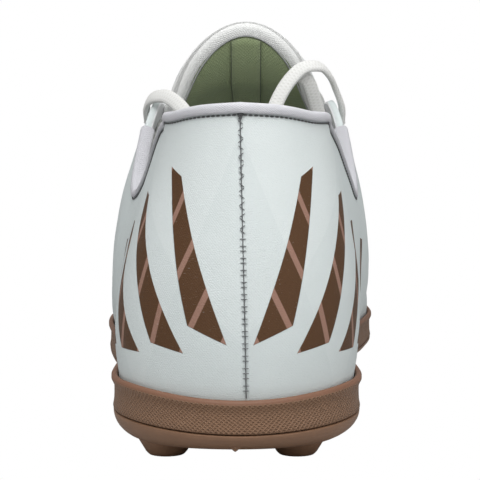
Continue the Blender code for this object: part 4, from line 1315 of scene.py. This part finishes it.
def foxing_profile(station, side):
    """The cup: a foxing band with a pressed face, a plain rim, and the bed inside it."""
    edge, floor = sole_radius(station, side), insole_radius(station, side)
    inner, outer = edge + RIM_FLARE - RIM_WALL, edge + RIM_FLARE
    low, top = parting(station, side, edge) + GAP, rim(station, side, edge)
    tall = top - low
    line = [(along, level_at(station, side, along, PARTING_HEIGHT + GAP)) for along in (0.0, edge * 0.6)]
    line += [(edge - 0.0006, low), (edge - 0.0001, low + 0.0001), (edge + 0.0001, low + 0.0004)]
    for share in (0.2, 0.32, 0.44, 0.56, 0.68):
        line.append((edge - RIM_FLARE * math.sin(share * math.pi) * 0.8, low + tall * share))
    line += [(outer - 0.0001, top - tall * 0.22), (outer + 0.0002, top - tall * 0.15),
             (outer + 0.0002, top - tall * 0.07), (outer - 0.0003, top - 0.0001),
             (outer - 0.0007, top + 0.0001), (inner + 0.0002, top - 0.0001), (inner, top - 0.0005)]
    for along in (inner, floor, 0.5 * floor, 0.0):
        line.append((along, level_at(station, side, along, BED_HEIGHT)))
    return line


def outsole_profile(station, side):
    edge = sole_radius(station, side)
    _, direction = ray(station, side)
    turn = between(LATERAL_EDGE_ROUND, MEDIAL_EDGE_ROUND, (direction.x + 1) / 2)
    line = []
    for share in (0.0, 0.5, 0.85):
        along = share * (edge - turn)
        line.append((along, sole_bottom(at_ray(station, side, along, 0).y)))
    for k in range(13):
        angle = k / 12 * math.pi / 2
        along = edge - turn + turn * math.sin(angle)
        y = at_ray(station, side, along, 0).y
        low, high = sole_bottom(y), parting(station, side, along) - 0.0002
        line.append((along, between(high, low, math.cos(angle))))
    line.append((edge - 0.0002, parting(station, side, edge)))
    for share in (0.5, 0.0):
        line.append((share * edge, level_at(station, side, share * edge, PARTING_HEIGHT)))
    return line


def insole_profile(station, side):
    edge = insole_radius(station, side)
    low, high = BED_HEIGHT + GAP, BED_HEIGHT + GAP + INSOLE_THICKNESS
    corners = [(0.0, low), (edge, low), (edge, high - 0.0012), (edge - 0.0003, high - 0.0005)]
    corners += [(edge - 0.0010, high)] + [(share * edge, high) for share in (0.8, 0.4, 0.0)]
    return [(along, level_at(station, side, along, height)) for along, height in corners]


def make_lugs():
    """Blunt lugs: a cone with rounded edges, copied to each place."""
    for label, large, base, tip in (("large", True, LUG_BASE_RADIUS, LUG_TIP_RADIUS),
                                    ("small", False, SMALL_LUG_BASE_RADIUS, SMALL_LUG_TIP_RADIUS)):
        tall = LUG_HEIGHT + LUG_ROOT
        bpy.ops.mesh.primitive_cone_add(vertices=28, radius1=tip, radius2=base, depth=tall,
                                        location=(0, 0, tall / 2))
        one = bpy.context.active_object
        bpy.ops.object.mode_set(mode="EDIT")
        bpy.ops.mesh.select_all(action="DESELECT")
        bpy.ops.object.mode_set(mode="OBJECT")
        for face in one.data.polygons:
            face.select = face.normal.z < -0.9
        bpy.ops.object.mode_set(mode="EDIT")
        bpy.ops.mesh.bevel(offset=0.0009, segments=4)
        bpy.ops.mesh.inset(thickness=0.0012)
        bpy.ops.object.mode_set(mode="OBJECT")
        for corner in one.data.vertices:
            corner.co.z = max(corner.co.z, -tall / 2)
        settle(one)
        places = []
        for share, across, is_large in LUG_ROWS:
            if is_large != large:
                continue
            y = share * LENGTH
            low, high = outline_at(y)
            xs = (low + LATERAL_LUG_DISTANCE, high - MEDIAL_LUG_DISTANCE)
            if across == 1:
                xs = ((low + high) / 2,)
            places += [Matrix.Translation((x, y, sole_bottom(y) - LUG_HEIGHT)) for x in xs]
        copies(f"lugs_{label}", one, places, GUM)


def make_heel_nub():
    """A small wedge under the middle of the heel's lower edge."""
    bpy.ops.mesh.primitive_cone_add(vertices=4, radius1=0.0022, radius2=0.0002, depth=0.0030)
    nub = bpy.context.active_object
    nub.name = "heel_nub"
    nub.rotation_euler = (math.radians(139), 0, 0)
    nub.scale = (1.0, 1.0, 0.6)
    nub.location = Vector((-0.0011, 0.0034, 0.0046)) + PLACE
    settle(nub)
    finish_with(nub, "BEVEL", width=0.0003, segments=2)
    nub.data.materials.append(GUM)
    put(nub)


# The stage
def make_stage():
    bpy.ops.mesh.primitive_plane_add(size=6.0, location=(0, 1.4, -0.0001))
    floor = bpy.context.active_object
    floor.name = "floor"
    made, tree, shader = finish("floor_paper", (0.93, 0.93, 0.93), 0.85)
    spots = wire(tree, "ShaderNodeTexCoord").outputs["Object"]
    tone = wire(tree, "ShaderNodeTexNoise", {"Vector": spots, "Scale": 3.0}).outputs["Fac"]
    grey = blend_colour(tree, tone, (0.50, 0.50, 0.50, 1), (0.52, 0.52, 0.52, 1))
    tree.links.new(grey, shader.inputs["Base Color"])
    seen = wire(tree, "ShaderNodeLightPath").outputs["Is Camera Ray"]
    glow = wire(tree, "ShaderNodeEmission", {"Color": (1.0, 1.0, 1.0, 1.0), "Strength": 1.0})
    mixed = wire(tree, "ShaderNodeMixShader", {0: seen, 1: shader.outputs[0], 2: glow.outputs[0]})
    tree.links.new(mixed.outputs[0], tree.nodes["Material Output"].inputs["Surface"])
    floor.data.materials.append(made)
    settle(floor)
    world = bpy.data.worlds.new("studio")
    bpy.context.scene.world = world
    world.use_nodes = True
    sky = world.node_tree
    sky.nodes["Background"].inputs["Color"].default_value = (1.0, 1.0, 1.0, 1.0)
    seen = wire(sky, "ShaderNodeLightPath").outputs["Is Camera Ray"]
    strength = wire(sky, "ShaderNodeMapRange", {"Value": seen, "To Min": 0.34, "To Max": 1.0}).outputs[0]
    sky.links.new(strength, sky.nodes["Background"].inputs["Strength"])
    for name, spot, aim, size, power in (
        ("key", (-0.45, -0.85, 1.05), (0.0, -0.10, 0.05), 0.8, 4.6),
        ("fill", (0.95, -0.55, 0.45), (0.0, -0.05, 0.05), 0.8, 1.2),
        ("top", (0.0, 0.25, 1.30), (0.0, 0.0, 0.05), 1.1, 5.0),
        ("near", (0.03, -0.245, 0.245), (0.0, -0.13, 0.07), 0.16, 0.34),
    ):
        bpy.ops.object.light_add(type="AREA", location=spot)
        lamp = bpy.context.active_object
        lamp.name = f"light_{name}"
        lamp.data.size = size
        lamp.data.energy = power
        lamp.rotation_euler = (Vector(aim) - Vector(spot)).to_track_quat("-Z", "Y").to_euler()
    bpy.ops.object.camera_add(location=Vector((0.0, -CAMERA_DISTANCE, CAMERA_HEIGHT)) + PLACE,
                              rotation=(math.radians(90 - CAMERA_TILT), 0, 0))
    camera = bpy.context.active_object
    camera.data.sensor_width = 36.0
    camera.data.lens = CAMERA_LENS
    camera.data.clip_start, camera.data.clip_end = 0.01, 20.0
    bpy.context.scene.camera = camera
    bpy.context.scene.view_settings.view_transform = "Standard"


make_stage()
for (end_side, end_label), end_route in zip(SIDES, (LATERAL_END_ROUTE, MEDIAL_END_ROUTE)):
    make_lace_end(end_label, end_route, end_side)
make_upper()
make_binding()
make_heel_seam()
make_eyestays()
make_eyelet_rings()
make_toe_guard()
make_tongue()
make_lacing()
make_inner_strand()
turned_solid("foxing_cup", foxing_profile, [FOXING], "midsole")
turned_solid("tread_plate", outsole_profile, [GUM], "outsole")
turned_solid("sock_liner", insole_profile, [SOCK], "insole")
make_lugs()
make_heel_nub()
